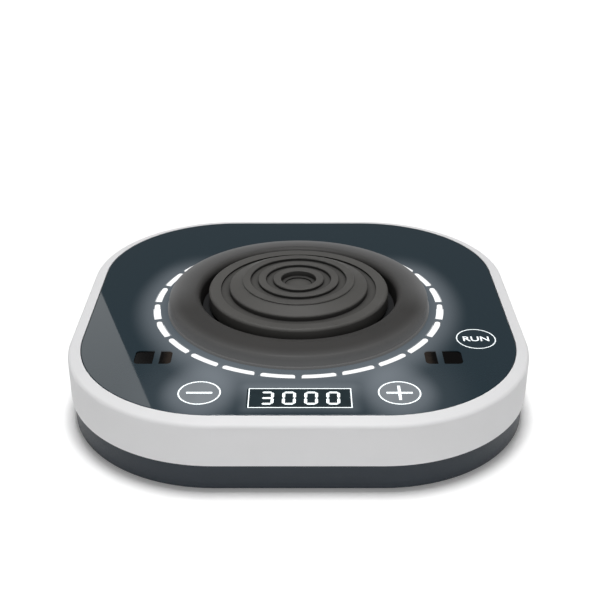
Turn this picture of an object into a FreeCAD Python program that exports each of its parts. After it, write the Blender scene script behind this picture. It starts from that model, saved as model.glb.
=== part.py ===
import FreeCAD
import Part
import Sketcher
import os

# Driving dimensions in millimetres and degrees. The origin is on the ground under the centre of the
# motor shaft, +Z is up and the control side of the panel faces -Y.
DIMENSIONS = {
    # Lower housing
    "foot_drop": 0.6,
    "foot_rad": 6.0,
    "foot_place": 46.0,
    "foot_sunk": 0.8,
    "foot_round": 0.4,
    "base_half": 73.4,
    "base_corner": 48.5,
    "base_height": 8.8,
    "base_wall": 3.6,
    "base_floor": 2.8,
    "base_round": 1.0,
    "tongue_height": 2.0,
    "tongue_notch": 5.5,
    "fit_gap": 0.15,
    "boss_rad": 3.6,
    "boss_place": 53.9,
    "mount_boss_rad": 4.0,
    "mount_boss_height": 1.6,
    "mount_place": 36.0,
    "pilot_rad": 1.4,
    "vent_pitch": 6.0,
    "vent_wide": 2.2,
    "vent_half_long": 9.0,
    # Upper housing
    "ring_half": 74.2,
    "ring_corner": 49.3,
    "ring_height": 15.0,
    "ring_wall": 2.6,
    "rim_drop": 1.0,
    "rim_round": 1.2,
    "ring_edge": 0.4,
    "rim_land": 0.05,
    "ledge_half": 65.0,
    "ledge_thick": 2.4,
    # Top panel and its openings
    "panel_half": 70.0,
    "panel_corner": 45.15,
    "panel_thick": 2.0,
    "panel_edge": 0.25,
    "tape_thick": 0.25,
    "tape_inset": 0.4,
    "panel_hole": 36.4,
    "dash_count": 24,
    "dash_angle": 13.0,
    "dash_low_rad": 47.4,
    "dash_high_rad": 49.7,
    "slot_gap": 0.05,
    "window_half": 15.35,
    "window_front": -66.35,
    "window_back": -55.15,
    "window_corner": 1.0,
    "sensor_near": 39.8,
    "sensor_bar_near": 43.65,
    "sensor_bar_far": 45.55,
    "sensor_far": 51.5,
    "sensor_front": -41.1,
    "sensor_back": -33.0,
    "sensor_corner": 1.5,
    "lens_sunk": 0.3,
    "lens_lap": 0.6,
    "lens_base": 1.0,
    "key_place": 29.75,
    "key_front": -58.0,
    "run_place": 57.3,
    "run_front": -25.3,
    "pad_rad": 4.5,
    # Rubber collar
    "collar_rad": 44.85,
    "collar_lip": 0.9,
    "collar_step": 0.5,
    "collar_low": 4.1,
    "collar_shoulder": 44.25,
    "collar_crest": 36.4,
    "collar_rise": 5.25,
    "collar_inner": 33.65,
    "collar_shoulder_round": 1.2,
    "collar_crest_round": 6.0,
    "collar_inner_round": 1.9,
    "collar_lip_round": 0.4,
    "bead_rad": 38.2,
    "bead_drop": 3.2,
    # Boards under the panel
    "guide_low_rad": 46.4,
    "guide_high_rad": 50.6,
    "guide_thick": 2.8,
    "board_half": 69.3,
    "board_drop": 7.2,
    "board_thick": 1.2,
    "board_hole": 44.5,
    "board_notch": 4.4,
    "board_jack_half": 5.5,
    "board_jack_near": 56.0,
    "board_screw_far": 67.2,
    "board_screw_side": 18.0,
    "board_boss_rad": 2.0,
    "led_rad": 48.6,
    "led_half": 1.4,
    "led_high": 0.8,
    "display_margin": 0.5,
    "display_notch": 1.8,
    "sensor_block": 2.5,
    "chip_high": 1.3,
    "chip_half": 3.5,
    # Power board and inlet
    "driver_half": 26.0,
    "driver_near": 48.0,
    "driver_far": 66.5,
    "driver_low": 9.0,
    "driver_thick": 1.4,
    "driver_post_rad": 3.0,
    "driver_post_place": 21.0,
    "driver_post_back": 57.0,
    "capacitor_rad": 4.0,
    "capacitor_side": 13.8,
    "driver_part_deep": 5.0,
    "driver_part_high": 5.0,
    "coil_box_near": 10.5,
    "coil_box_far": 20.0,
    "plug_half": 5.0,
    "plug_side": 1.0,
    "jack_half": 4.5,
    "jack_near": 57.0,
    "jack_far": 69.2,
    "jack_high": 8.8,
    "jack_axis": 15.0,
    "jack_nose": 3.4,
    "jack_bore": 2.85,
    "jack_deep": 10.0,
    "jack_pin": 1.0,
    "jack_sunk": 0.6,
    "lead_rad": 0.5,
    "lead_pitch": 1.5,
    "lead_side": 5.0,
    "lead_near": 12.6,
    "header_half": 3.0,
    "header_side": -10.0,
    "header_front": 61.0,
    "header_back": 65.5,
    # Chassis and mounts
    "chassis_half": 44.0,
    "chassis_corner": 14.0,
    "chassis_thick": 2.4,
    "chassis_hole": 6.0,
    "mount_rad": 5.0,
    "mount_neck": 3.0,
    "mount_bore": 1.6,
    "mount_flange": 1.2,
    "post_place": 40.2,
    "post_rad": 2.6,
    "post_stub": 1.5,
    # Motor
    "motor_flange_rad": 12.0,
    "motor_flange_thick": 1.4,
    "tube_rad": 6.8,
    "tube_high": 7.5,
    "motor_screw_place": 9.5,
    "shaft_rad": 2.5,
    "shaft_low": 1.6,
    "small_outer_rad": 5.5,
    "small_width": 3.5,
    "small_lift": 0.2,
    "small_gap": 0.3,
    "small_ball_place": 4.0,
    "small_ball_rad": 0.9,
    "small_ball_count": 7,
    "core_rad": 17.7,
    "core_shoe": 16.4,
    "core_yoke": 9.6,
    "core_lift": 2.3,
    "core_thick": 3.6,
    "tooth_half": 1.5,
    "tooth_count": 9,
    "shoe_angle": 32.0,
    "coil_near": 10.3,
    "coil_far": 15.9,
    "coil_side": 1.5,
    "coil_end": 0.6,
    "bell_rad": 21.8,
    "bell_wall": 1.55,
    "bell_top": 1.2,
    "bell_lift": 1.6,
    "bell_gap": 0.6,
    "bell_boss": 3.3,
    "magnet_thick": 2.05,
    "magnet_long": 5.0,
    # Eccentric drive
    "orbit_rad": 1.5,
    "hub_rad": 7.5,
    "hub_drop": 6.0,
    "hub_top_drop": 2.2,
    "hub_roof": 0.6,
    "pin_shoulder": 3.4,
    "pin_rad": 2.5,
    "pin_rise": 4.6,
    "clip_rad": 4.2,
    "clip_thick": 0.5,
    "clip_root": 2.1,
    "clip_play": 0.05,
    "set_screw_rad": 1.25,
    "set_screw_end": 7.0,
    "weight_collar": 9.0,
    "weight_rad": 14.5,
    "weight_thick": 3.2,
    "weight_lift": 0.2,
    # Deck and guide pins
    "deck_hole": 11.6,
    "deck_dam": 13.0,
    "deck_dam_rise": 0.8,
    "deck_drop": 0.4,
    "deck_thick": 1.4,
    "deck_rad": 33.0,
    "deck_wall": 1.8,
    "deck_flange_rad": 43.0,
    "deck_flange_drop": 3.5,
    "guide_place": 20.0,
    "guide_count": 3,
    "guide_pin_rad": 2.0,
    "guide_pin_rise": 3.4,
    "guide_boss_rad": 3.4,
    "guide_boss_drop": 4.2,
    # Mixing head
    "carrier_rad": 28.2,
    "carrier_low": 1.6,
    "carrier_high": 3.8,
    "carrier_hub": 9.2,
    "carrier_hub_drop": 1.2,
    "carrier_lip": 5.0,
    "bearing_low": 0.6,
    "bearing_width": 4.0,
    "bearing_outer": 6.5,
    "bearing_ball_place": 4.5,
    "bearing_ball_rad": 1.2,
    "bearing_ball_count": 8,
    "race_gap": 0.05,
    "race_land": 0.6,
    "circlip_root": 6.9,
    "circlip_inner": 5.7,
    "bush_play": 0.3,
    "bush_rad": 4.8,
    "cup_lip_rad": 30.8,
    "cup_lip_top": 5.6,
    "cup_lip_inner": 5.4,
    "cup_skirt": 0.6,
    "cup_wall": 2.5,
    "cup_roof": 3.9,
    "cup_dome_rad": 7.0,
    "cup_dome": 5.0,
    "cup_groove_far": 26.7,
    "cup_groove": 4.75,
    "tier_rad": 23.7,
    "tier_edge": 6.5,
    "rib_top": 8.8,
    "rib_foot": 7.8,
    "rib_outer_foot": 8.25,
    "rib_one_near": 6.0,
    "rib_one_far": 8.7,
    "rib_two_near": 11.1,
    "rib_two_far": 13.8,
    "rib_three_near": 16.4,
    "rib_three_far": 19.2,
    "seat_floor": 6.9,
    "seat_well": 6.4,
    "seat_well_rad": 4.7,
    "rib_round": 0.35,
    "lip_round": 1.0,
    "tier_round": 0.7,
    # Fasteners
    "thread_rad": 1.35,
    "head_rad": 2.8,
    "head_high": 1.8,
    "bore_rad": 3.1,
    "bore_deep": 3.0,
    "small_thread": 1.2,
    "small_pilot": 1.25,
    "small_head": 2.2,
    "small_head_high": 1.0,
    "hex_rad": 1.3,
    "hex_deep": 0.9,
}

TINY = 1e-9

# Heights that several pieces share
GROUND = "0"
BASE_LOW = "dims.foot_drop"
FLOOR = "(dims.foot_drop + dims.base_floor)"
SPLIT = "(dims.foot_drop + dims.base_height)"
PANEL = "(dims.foot_drop + dims.base_height + dims.ring_height)"
PANEL_LOW = f"({PANEL} - dims.panel_thick)"
LEDGE_TOP = f"({PANEL_LOW} - dims.tape_thick)"
LEDGE_LOW = f"({LEDGE_TOP} - dims.ledge_thick)"
BOARD_LOW = f"({PANEL} - dims.board_drop)"
BOARD_TOP = f"({BOARD_LOW} + dims.board_thick)"
DRIVER_TOP = "(dims.driver_low + dims.driver_thick)"
MOUNT_LOW = f"({FLOOR} + dims.mount_boss_height)"
CHASSIS_LOW = f"({MOUNT_LOW} + dims.mount_flange)"
CHASSIS_TOP = f"({CHASSIS_LOW} + dims.chassis_thick)"
MOUNT_TOP = f"({CHASSIS_TOP} + dims.mount_flange)"
TUBE_TOP = f"({CHASSIS_TOP} + dims.tube_high)"
BELL_LOW = f"({CHASSIS_TOP} + dims.bell_lift)"
BELL_ROOF = f"({TUBE_TOP} + dims.bell_gap)"
CORE_LOW = f"({CHASSIS_TOP} + dims.core_lift)"
HUB_LOW = f"({PANEL} - dims.hub_drop)"
HUB_TOP = f"({PANEL} - dims.hub_top_drop)"
SHAFT_TOP = f"({HUB_TOP} - dims.hub_roof)"
BEARING_LOW = f"({PANEL} - dims.bearing_low)"
BEARING_TOP = f"({BEARING_LOW} + dims.bearing_width)"
DECK_TOP = f"({PANEL} - dims.deck_drop)"
DECK_FLANGE_TOP = f"({PANEL} - dims.deck_flange_drop)"
DECK_FLANGE_LOW = f"({DECK_FLANGE_TOP} - dims.deck_thick)"
DASH_PITCH = "(360 / dims.dash_count)"

# Places in plan, each repeated round the axis
BOSS = ("dims.boss_place", "dims.boss_place")
MOUNT = ("dims.mount_place", "dims.mount_place")
FOOT = ("dims.foot_place", "dims.foot_place")
BOARD_SCREW = ("dims.board_screw_far", "dims.board_screw_side")
GUIDE = ("0", "dims.guide_place")
CRANK = ("0", "dims.orbit_rad")

doc = FreeCAD.newDocument("vortex_mixer")
sheet = doc.addObject("Spreadsheet::Sheet", "dims")
for row, (alias, number) in enumerate(DIMENSIONS.items(), start=1):
    sheet.set(f"A{row}", alias.replace("_", " "))
    sheet.set(f"B{row}", str(number))
    sheet.setAlias(f"B{row}", alias)
doc.recompute()

bodies = []


def value(expression):
    return float(sheet.evalExpression(expression))


def new_body(label):
    body = doc.addObject("PartDesign::Body", label)
    body.Label = label
    bodies.append(body)
    return body


def origin_item(body, role):
    return next(item for item in body.Origin.OriginFeatures if item.Role == role)


def new_sketch(body, role="XY_Plane", level=GROUND):
    sketch = body.newObject("Sketcher::SketchObject", f"{body.Name}_outline")
    sketch.AttachmentSupport = [(origin_item(body, role), "")]
    sketch.MapMode = "FlatFace"
    sketch.setExpression("AttachmentOffset.Base.z", level)
    return sketch


def bind(sketch, constraint, expression):
    index = sketch.addConstraint(constraint)
    name = f"size{index}"
    sketch.renameConstraint(index, name)
    sketch.setExpression(f"Constraints.{name}", expression)


def fix_point(sketch, geometry, vertex, x, y):
    for kind, axis, expression in (("DistanceX", -2, x), ("DistanceY", -1, y)):
        number = value(expression)
        if abs(number) < TINY:
            sketch.addConstraint(Sketcher.Constraint("PointOnObject", geometry, vertex, axis))
        else:
            bind(sketch, Sketcher.Constraint(kind, -1, 1, geometry, vertex, number), expression)


def polygon(sketch, points):
    first = sketch.GeometryCount
    places = [FreeCAD.Vector(value(x), value(y), 0) for x, y in points]
    count = len(points)
    for i in range(count):
        sketch.addGeometry(Part.LineSegment(places[i], places[(i + 1) % count]))
    for i in range(count):
        after = first + (i + 1) % count
        sketch.addConstraint(Sketcher.Constraint("Coincident", first + i, 2, after, 1))
    for i, (x, y) in enumerate(points):
        fix_point(sketch, first + i, 1, x, y)


def rectangle(sketch, left, right, front, back):
    polygon(sketch, [(left, front), (right, front), (right, back), (left, back)])


def circle(sketch, radius, x="0", y="0"):
    centre = FreeCAD.Vector(value(x), value(y), 0)
    geometry = sketch.addGeometry(Part.Circle(centre, FreeCAD.Vector(0, 0, 1), value(radius)))
    bind(sketch, Sketcher.Constraint("Radius", geometry, value(radius)), radius)
    fix_point(sketch, geometry, 3, x, y)


def rounded_rectangle(sketch, left, right, front, back, corner):
    first = sketch.GeometryCount
    x0, x1, y0, y1, r = (value(item) for item in (left, right, front, back, corner))
    sides = [
        ((x0 + r, y0), (x1 - r, y0), (x1 - r, y0 + r), 270),
        ((x1, y0 + r), (x1, y1 - r), (x1 - r, y1 - r), 0),
        ((x1 - r, y1), (x0 + r, y1), (x0 + r, y1 - r), 90),
        ((x0, y1 - r), (x0, y0 + r), (x0 + r, y0 + r), 180),
    ]
    normal = FreeCAD.Vector(0, 0, 1)
    for start, end, centre, angle in sides:
        sketch.addGeometry(Part.LineSegment(FreeCAD.Vector(*start, 0), FreeCAD.Vector(*end, 0)))
        round_part = Part.Circle(FreeCAD.Vector(*centre, 0), normal, r)
        turn = FreeCAD.Units.Quantity(f"{angle} deg").getValueAs("rad").Value
        quarter = FreeCAD.Units.Quantity("90 deg").getValueAs("rad").Value
        sketch.addGeometry(Part.ArcOfCircle(round_part, turn, turn + quarter))
    for i in range(4):
        line = first + 2 * i
        arc = line + 1
        after = first + (2 * i + 2) % 8
        sketch.addConstraint(Sketcher.Constraint("Tangent", line, 2, arc, 1))
        sketch.addConstraint(Sketcher.Constraint("Tangent", arc, 2, after, 1))
        sketch.addConstraint(Sketcher.Constraint("Horizontal" if i % 2 == 0 else "Vertical", line))
        if i:
            sketch.addConstraint(Sketcher.Constraint("Equal", first + 1, arc))
    bind(sketch, Sketcher.Constraint("Radius", first + 1, r), corner)
    for i, (kind, expression) in enumerate(
        (("DistanceY", front), ("DistanceX", right), ("DistanceY", back), ("DistanceX", left))
    ):
        bind(sketch, Sketcher.Constraint(kind, -1, 1, first + 2 * i, 1, value(expression)), expression)


def rounded_square(sketch, half, corner):
    rounded_rectangle(sketch, f"-({half})", half, f"-({half})", half, corner)


def pad(body, sketch, height, reverse=False):
    feature = body.newObject("PartDesign::Pad", f"{body.Name}_pad")
    feature.Profile = sketch
    feature.Reversed = reverse
    feature.setExpression("Length", height)
    doc.recompute()
    return feature


def pocket(body, sketch, depth, reverse=False):
    before = body.Shape.Volume
    feature = body.newObject("PartDesign::Pocket", f"{body.Name}_pocket")
    feature.Profile = sketch
    feature.Reversed = reverse
    feature.setExpression("Length", depth)
    doc.recompute()
    if feature.Shape.Volume >= before:
        raise RuntimeError(f"{feature.Label} removes nothing")
    return feature


def add(body, draw, low, high, role="XY_Plane"):
    sketch = new_sketch(body, role, low)
    draw(sketch)
    return pad(body, sketch, f"{high} - ({low})")


def cut(body, draw, low, high):
    sketch = new_sketch(body, "XY_Plane", high)
    draw(sketch)
    return pocket(body, sketch, f"{high} - ({low})")


def revolve(body, points, angle="360", turn="0", backward=False):
    sketch = new_sketch(body, "XZ_Plane")
    sketch.AttachmentOffset = FreeCAD.Placement(
        FreeCAD.Vector(), FreeCAD.Rotation(FreeCAD.Vector(0, 1, 0), 1)
    )
    sketch.setExpression("AttachmentOffset.Rotation.Angle", turn)
    polygon(sketch, points)
    feature = body.newObject("PartDesign::Revolution", f"{body.Name}_turned")
    feature.Profile = sketch
    feature.ReferenceAxis = (sketch, ["V_Axis"])
    feature.Reversed = backward
    feature.setExpression("Angle", angle)
    doc.recompute()
    return feature


def groove(body, draw, angle="360", turn="0"):
    before = body.Shape.Volume
    sketch = new_sketch(body, "XZ_Plane")
    sketch.AttachmentOffset = FreeCAD.Placement(
        FreeCAD.Vector(), FreeCAD.Rotation(FreeCAD.Vector(0, 1, 0), 1)
    )
    sketch.setExpression("AttachmentOffset.Rotation.Angle", turn)
    draw(sketch)
    feature = body.newObject("PartDesign::Groove", f"{body.Name}_groove")
    feature.Profile = sketch
    feature.ReferenceAxis = (sketch, ["V_Axis"])
    feature.setExpression("Angle", angle)
    doc.recompute()
    if feature.Shape.Volume >= before:
        raise RuntimeError(f"{feature.Label} removes nothing")
    return feature


def polar(body, features, count):
    pattern = body.newObject("PartDesign::PolarPattern", f"{body.Name}_pattern")
    pattern.Originals = features
    pattern.Axis = (origin_item(body, "Z_Axis"), [""])
    pattern.Angle = 360
    pattern.setExpression("Occurrences", count)
    body.Tip = pattern
    doc.recompute()
    return pattern


def round_edges(body, radius, wanted):
    base = body.Tip
    names = [f"Edge{i}" for i, edge in enumerate(base.Shape.Edges, start=1) if wanted(edge)]
    fillet = body.newObject("PartDesign::Fillet", f"{body.Name}_round")
    fillet.Base = (base, names)
    fillet.setExpression("Radius", radius)
    doc.recompute()
    return fillet


def on_level(level):
    height = value(level)
    return lambda edge: abs(edge.BoundBox.ZMin - height) < 1e-5 and abs(edge.BoundBox.ZMax - height) < 1e-5


def on_outline(level, half):
    flat = on_level(level)
    reach = value(half)
    return lambda edge: flat(edge) and max(
        abs(edge.BoundBox.XMin), abs(edge.BoundBox.XMax), abs(edge.BoundBox.YMin), abs(edge.BoundBox.YMax)
    ) > reach - 1e-4


def on_circles(*rings):
    pairs = [(value(radius), value(level)) for radius, level in rings]

    def wanted(edge):
        if not isinstance(edge.Curve, Part.Circle):
            return False
        centre = edge.Curve.Center
        return any(
            abs(edge.Curve.Radius - radius) < 1e-5 and abs(centre.z - level) < 1e-5 and abs(centre.x) < 1e-5
            for radius, level in pairs
        )

    return wanted


def disc(radius, x="0", y="0"):
    return lambda sketch: circle(sketch, radius, x, y)


def hexagon(radius, x, y):
    corners = []
    for i in range(6):
        corners.append((f"{x} + {radius} * cos({60 * i} deg)", f"{y} + {radius} * sin({60 * i} deg)"))
    return lambda sketch: polygon(sketch, corners)


def several(*draws):
    def draw(sketch):
        for item in draws:
            item(sketch)

    return draw


def box(left, right, front, back):
    return lambda sketch: rectangle(sketch, left, right, front, back)


def square(half, corner):
    return lambda sketch: rounded_square(sketch, half, corner)


def soft_box(left, right, front, back, corner):
    return lambda sketch: rounded_rectangle(sketch, left, right, front, back, corner)


def screws(label, x, y, head, shank, drive, count):
    body = new_body(label)
    made = [add(body, disc(head[0], x, y), head[1], head[2])]
    made.append(add(body, disc(shank[0], x, y), shank[1], shank[2]))
    made.append(cut(body, hexagon("dims.hex_rad", x, y), drive[0], drive[1]))
    polar(body, made, count)
    return body


def ring_outline(inner, outer, low, high):
    return [(inner, low), (outer, low), (outer, high), (inner, high)]


def tube(label, inner, outer, low, high):
    body = new_body(label)
    revolve(body, ring_outline(inner, outer, low, high))
    return body


def side_span(side, near, far):
    return sorted((f"{side} * dims.{near}", f"{side} * dims.{far}"), key=value)


# Lower housing: a tray with screw bosses, mount bosses, vents, foot recesses and a tongue that the
# upper housing drops over.
def base_tray():
    body = new_body("base_tray")
    inner = "dims.base_half - dims.base_wall"
    inner_corner = "dims.base_corner - dims.base_wall"
    tongue = "dims.ring_half - dims.ring_wall - dims.fit_gap"
    tongue_corner = "dims.ring_corner - dims.ring_wall - dims.fit_gap"
    tongue_top = f"{SPLIT} + dims.tongue_height"
    add(body, square("dims.base_half", "dims.base_corner"), BASE_LOW, SPLIT)
    round_edges(body, "dims.base_round", on_level(BASE_LOW))
    add(body, square(tongue, tongue_corner), SPLIT, tongue_top)
    cut(body, square(inner, inner_corner), FLOOR, tongue_top)
    notch = box("-dims.tongue_notch", "dims.tongue_notch", "dims.driver_far", "dims.base_half")
    cut(body, notch, SPLIT, tongue_top)
    boss = add(body, disc("dims.boss_rad", *BOSS), FLOOR, SPLIT)
    mount = add(body, disc("dims.mount_boss_rad", *MOUNT), FLOOR, MOUNT_LOW)
    hole = cut(body, disc("dims.pilot_rad", *BOSS), BASE_LOW, SPLIT)
    bore = cut(
        body, disc("dims.bore_rad", *BOSS), BASE_LOW, "dims.foot_drop + dims.bore_deep"
    )
    pilot = cut(
        body, disc("dims.pilot_rad", *MOUNT), f"{BASE_LOW} + dims.foot_sunk", MOUNT_LOW
    )
    recess = cut(
        body,
        disc("dims.foot_rad + dims.fit_gap", *FOOT),
        BASE_LOW,
        "dims.foot_drop + dims.foot_sunk",
    )
    polar(body, [boss, mount, hole, bore, pilot, recess], "4")
    for side in (-1, 1):
        place = f"{side} * dims.driver_post_place"
        add(body, disc("dims.driver_post_rad", place, "dims.driver_post_back"), FLOOR, "dims.driver_low")
        cut(body, disc("dims.small_pilot", place, "dims.driver_post_back"), FLOOR, "dims.driver_low")
    vents = []
    for step in range(-3, 4):
        middle = f"{step} * dims.vent_pitch"
        vents.append(
            box(
                f"{middle} - dims.vent_wide / 2",
                f"{middle} + dims.vent_wide / 2",
                "-dims.vent_half_long",
                "dims.vent_half_long",
            )
        )
    cut(body, several(*vents), BASE_LOW, FLOOR)


# Upper housing: a ring with a sloped rim, a seat and ledge for the panel, and screw bosses.
def housing_ring():
    body = new_body("housing_ring")
    seat = "dims.panel_half + dims.fit_gap"
    slope = "dims.ring_half - dims.panel_half - dims.fit_gap - dims.rim_land"
    add(body, square("dims.ring_half", "dims.ring_corner"), SPLIT, PANEL)
    base = body.Tip
    top = on_level(PANEL)
    edges = [f"Edge{i}" for i, edge in enumerate(base.Shape.Edges, start=1) if top(edge)]
    chamfer = body.newObject("PartDesign::Chamfer", "housing_ring_slope")
    chamfer.Base = (base, edges)
    chamfer.ChamferType = "Two distances"
    chamfer.setExpression("Size", "dims.rim_drop")
    chamfer.setExpression("Size2", slope)
    doc.recompute()
    round_edges(body, "dims.rim_round", on_outline(f"{PANEL} - dims.rim_drop", "dims.panel_half"))
    round_edges(body, "dims.ring_edge", on_level(SPLIT))
    cut(body, square(seat, "dims.panel_corner + dims.fit_gap"), LEDGE_TOP, PANEL)
    ledge_corner = "dims.ring_corner - dims.ring_half + dims.ledge_half"
    cut(body, square("dims.ledge_half", ledge_corner), LEDGE_LOW, LEDGE_TOP)
    inner = "dims.ring_half - dims.ring_wall"
    cut(body, square(inner, "dims.ring_corner - dims.ring_wall"), SPLIT, LEDGE_LOW)
    boss = add(body, disc("dims.boss_rad", *BOSS), SPLIT, LEDGE_LOW)
    stand = add(body, disc("dims.board_boss_rad", *BOARD_SCREW), BOARD_TOP, LEDGE_LOW)
    hole = cut(body, disc("dims.pilot_rad", *BOSS), SPLIT, LEDGE_LOW)
    pilot = cut(
        body,
        disc("dims.small_pilot", *BOARD_SCREW),
        BOARD_TOP,
        f"{LEDGE_TOP} - dims.ledge_thick / 2",
    )
    polar(body, [boss, stand, hole, pilot], "4")
    side = "dims.window_half + dims.display_notch"
    cut(
        body,
        box(f"-({side})", side, "dims.window_front - dims.display_notch", "dims.window_back"),
        LEDGE_LOW,
        LEDGE_TOP,
    )
    sketch = new_sketch(body, "XZ_Plane", "-dims.ring_half")
    circle(sketch, "dims.jack_nose + dims.fit_gap", "0", "dims.jack_axis")
    pocket(body, sketch, "dims.ring_wall * 2", reverse=True)


# Glossy panel with the light-bar slots, the display window and the sensor windows.
def top_panel():
    body = new_body("top_panel")
    add(body, square("dims.panel_half", "dims.panel_corner"), PANEL_LOW, PANEL)
    round_edges(body, "dims.panel_edge", on_level(PANEL))
    cut(body, disc("dims.panel_hole"), PANEL_LOW, PANEL)
    display = ("-dims.window_half", "dims.window_half", "dims.window_front", "dims.window_back")
    openings = [soft_box(*display, "dims.window_corner")]
    bars = []
    for side in (-1, 1):
        span = side_span(side, "sensor_near", "sensor_far")
        openings.append(soft_box(*span, "dims.sensor_front", "dims.sensor_back", "dims.sensor_corner"))
        bar = side_span(side, "sensor_bar_near", "sensor_bar_far")
        bars.append(box(*bar, "dims.sensor_front - dims.lens_lap", "dims.sensor_back + dims.lens_lap"))
    cut(body, several(*openings), PANEL_LOW, PANEL)
    add(body, several(*bars), PANEL_LOW, PANEL)
    slot = groove(
        body,
        box("dims.dash_low_rad - dims.slot_gap", "dims.dash_high_rad + dims.slot_gap", PANEL_LOW, PANEL),
        angle="dims.dash_angle + dims.slot_gap * 4",
        turn=f"({DASH_PITCH} - dims.dash_angle) / 2 - dims.slot_gap * 2",
    )
    polar(body, [slot], "dims.dash_count")


def panel_tape():
    body = new_body("panel_tape")
    outer = "dims.panel_half - dims.tape_inset"
    inner = "dims.ledge_half + dims.tape_inset"
    rise = "dims.panel_corner - dims.panel_half"
    add(body, square(outer, f"{rise} + {outer}"), LEDGE_TOP, PANEL_LOW)
    cut(body, square(inner, f"{rise} + {inner}"), LEDGE_TOP, PANEL_LOW)
    side = "dims.window_half + dims.display_notch"
    cut(
        body,
        box(f"-({side})", side, "dims.window_front - dims.display_notch", "dims.window_back"),
        LEDGE_TOP,
        PANEL_LOW,
    )


# Rubber collar: a raised ring whose groove grips the edge of the panel hole.
def rubber_collar():
    body = new_body("rubber_collar")
    lip_top = f"{PANEL} + dims.collar_lip"
    crest = f"{PANEL} + dims.collar_rise"
    neck = "dims.panel_hole - dims.slot_gap"
    shoulder = f"{PANEL} + dims.collar_low"
    revolve(
        body,
        [
            (neck, PANEL),
            ("dims.collar_rad", PANEL),
            ("dims.collar_rad", lip_top),
            ("dims.collar_rad - dims.collar_step", lip_top),
            ("dims.collar_shoulder", shoulder),
            ("dims.collar_crest", crest),
            ("dims.collar_inner", crest),
            ("dims.collar_inner", f"{PANEL} - dims.bead_drop"),
            ("dims.bead_rad", f"{PANEL} - dims.bead_drop"),
            ("dims.bead_rad", PANEL_LOW),
            (neck, PANEL_LOW),
        ],
    )
    round_edges(body, "dims.collar_shoulder_round", on_circles(("dims.collar_shoulder", shoulder)))
    round_edges(body, "dims.collar_crest_round", on_circles(("dims.collar_crest", crest)))
    round_edges(body, "dims.collar_inner_round", on_circles(("dims.collar_inner", crest)))
    round_edges(body, "dims.collar_lip_round", on_circles(("dims.collar_rad", lip_top)))


# Light guide: a ring under the panel with one bar standing up into each slot.
def light_guide():
    body = new_body("light_guide")
    top = f"{PANEL_LOW} - dims.slot_gap"
    low = f"{PANEL_LOW} - dims.guide_thick"
    revolve(body, ring_outline("dims.guide_low_rad", "dims.guide_high_rad", low, top))
    bar_top = f"{PANEL} - dims.slot_gap"
    bar = revolve(
        body,
        ring_outline("dims.dash_low_rad", "dims.dash_high_rad", low, bar_top),
        angle="dims.dash_angle",
        turn=f"({DASH_PITCH} - dims.dash_angle) / 2",
    )
    polar(body, [bar], "dims.dash_count")


def ring_leds():
    body = new_body("ring_leds")
    half = "dims.led_half"
    outline = box(f"dims.led_rad - {half}", f"dims.led_rad + {half}", f"-{half}", half)
    led = add(body, outline, BOARD_TOP, f"{BOARD_TOP} + dims.led_high")
    polar(body, [led], "dims.dash_count")
    body.setExpression("Placement.Rotation.Angle", f"{DASH_PITCH} / 2")


def control_board():
    body = new_body("control_board")
    corner = "dims.panel_corner - dims.panel_half + dims.board_half"
    add(body, square("dims.board_half", corner), BOARD_LOW, BOARD_TOP)
    cut(body, disc("dims.board_hole"), BOARD_LOW, BOARD_TOP)
    notch = cut(body, disc("dims.board_notch", *BOSS), BOARD_LOW, BOARD_TOP)
    hole = cut(body, disc("dims.small_pilot", *BOARD_SCREW), BOARD_LOW, BOARD_TOP)
    polar(body, [notch, hole], "4")
    jack = box("-dims.board_jack_half", "dims.board_jack_half", "dims.board_jack_near", "dims.board_half")
    cut(body, jack, BOARD_LOW, BOARD_TOP)


def board_chips():
    body = new_body("board_chips")
    half = "dims.chip_half"
    chips = [
        box(f"{x} - {half}", f"{x} + {half}", f"{y} - {half}", f"{y} + {half}")
        for x, y in (
            ("-dims.board_hole", "dims.sensor_front"),
            ("dims.board_hole", "dims.sensor_front"),
            ("-dims.key_place", "dims.key_front"),
            ("dims.key_place", "dims.key_front"),
        )
    ]
    add(body, several(*chips), f"{BOARD_LOW} - dims.chip_high", BOARD_LOW)


def display_module():
    body = new_body("display_module")
    side = "dims.window_half + dims.display_margin"
    front = "dims.window_front - dims.display_margin"
    back = "dims.window_back + dims.display_margin"
    add(body, box(f"-({side})", side, front, back), BOARD_TOP, f"{PANEL_LOW} - dims.slot_gap")


def display_window():
    body = new_body("display_window")
    add(
        body,
        soft_box(
            "-dims.window_half + dims.slot_gap",
            "dims.window_half - dims.slot_gap",
            "dims.window_front + dims.slot_gap",
            "dims.window_back - dims.slot_gap",
            "dims.window_corner - dims.slot_gap",
        ),
        PANEL_LOW,
        f"{PANEL} - dims.slot_gap",
    )


def sensor_lens(label, side):
    body = new_body(label)
    left, right = side_span(side, "sensor_near", "sensor_far")
    low = f"{PANEL_LOW} - dims.lens_base"
    shelf = f"{PANEL_LOW} - dims.slot_gap"
    top = f"{PANEL} - dims.lens_sunk"
    front = "dims.sensor_front - dims.lens_lap"
    back = "dims.sensor_back + dims.lens_lap"
    add(body, box(f"{left} - dims.lens_lap", f"{right} + dims.lens_lap", front, back), low, shelf)
    face = soft_box(
        f"{left} + dims.slot_gap",
        f"{right} - dims.slot_gap",
        "dims.sensor_front + dims.slot_gap",
        "dims.sensor_back - dims.slot_gap",
        "dims.sensor_corner - dims.slot_gap",
    )
    add(body, face, low, top)
    bar_left, bar_right = side_span(side, "sensor_bar_near", "sensor_bar_far")
    cut(body, box(f"{bar_left} - dims.slot_gap", f"{bar_right} + dims.slot_gap", front, back), shelf, top)


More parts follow.
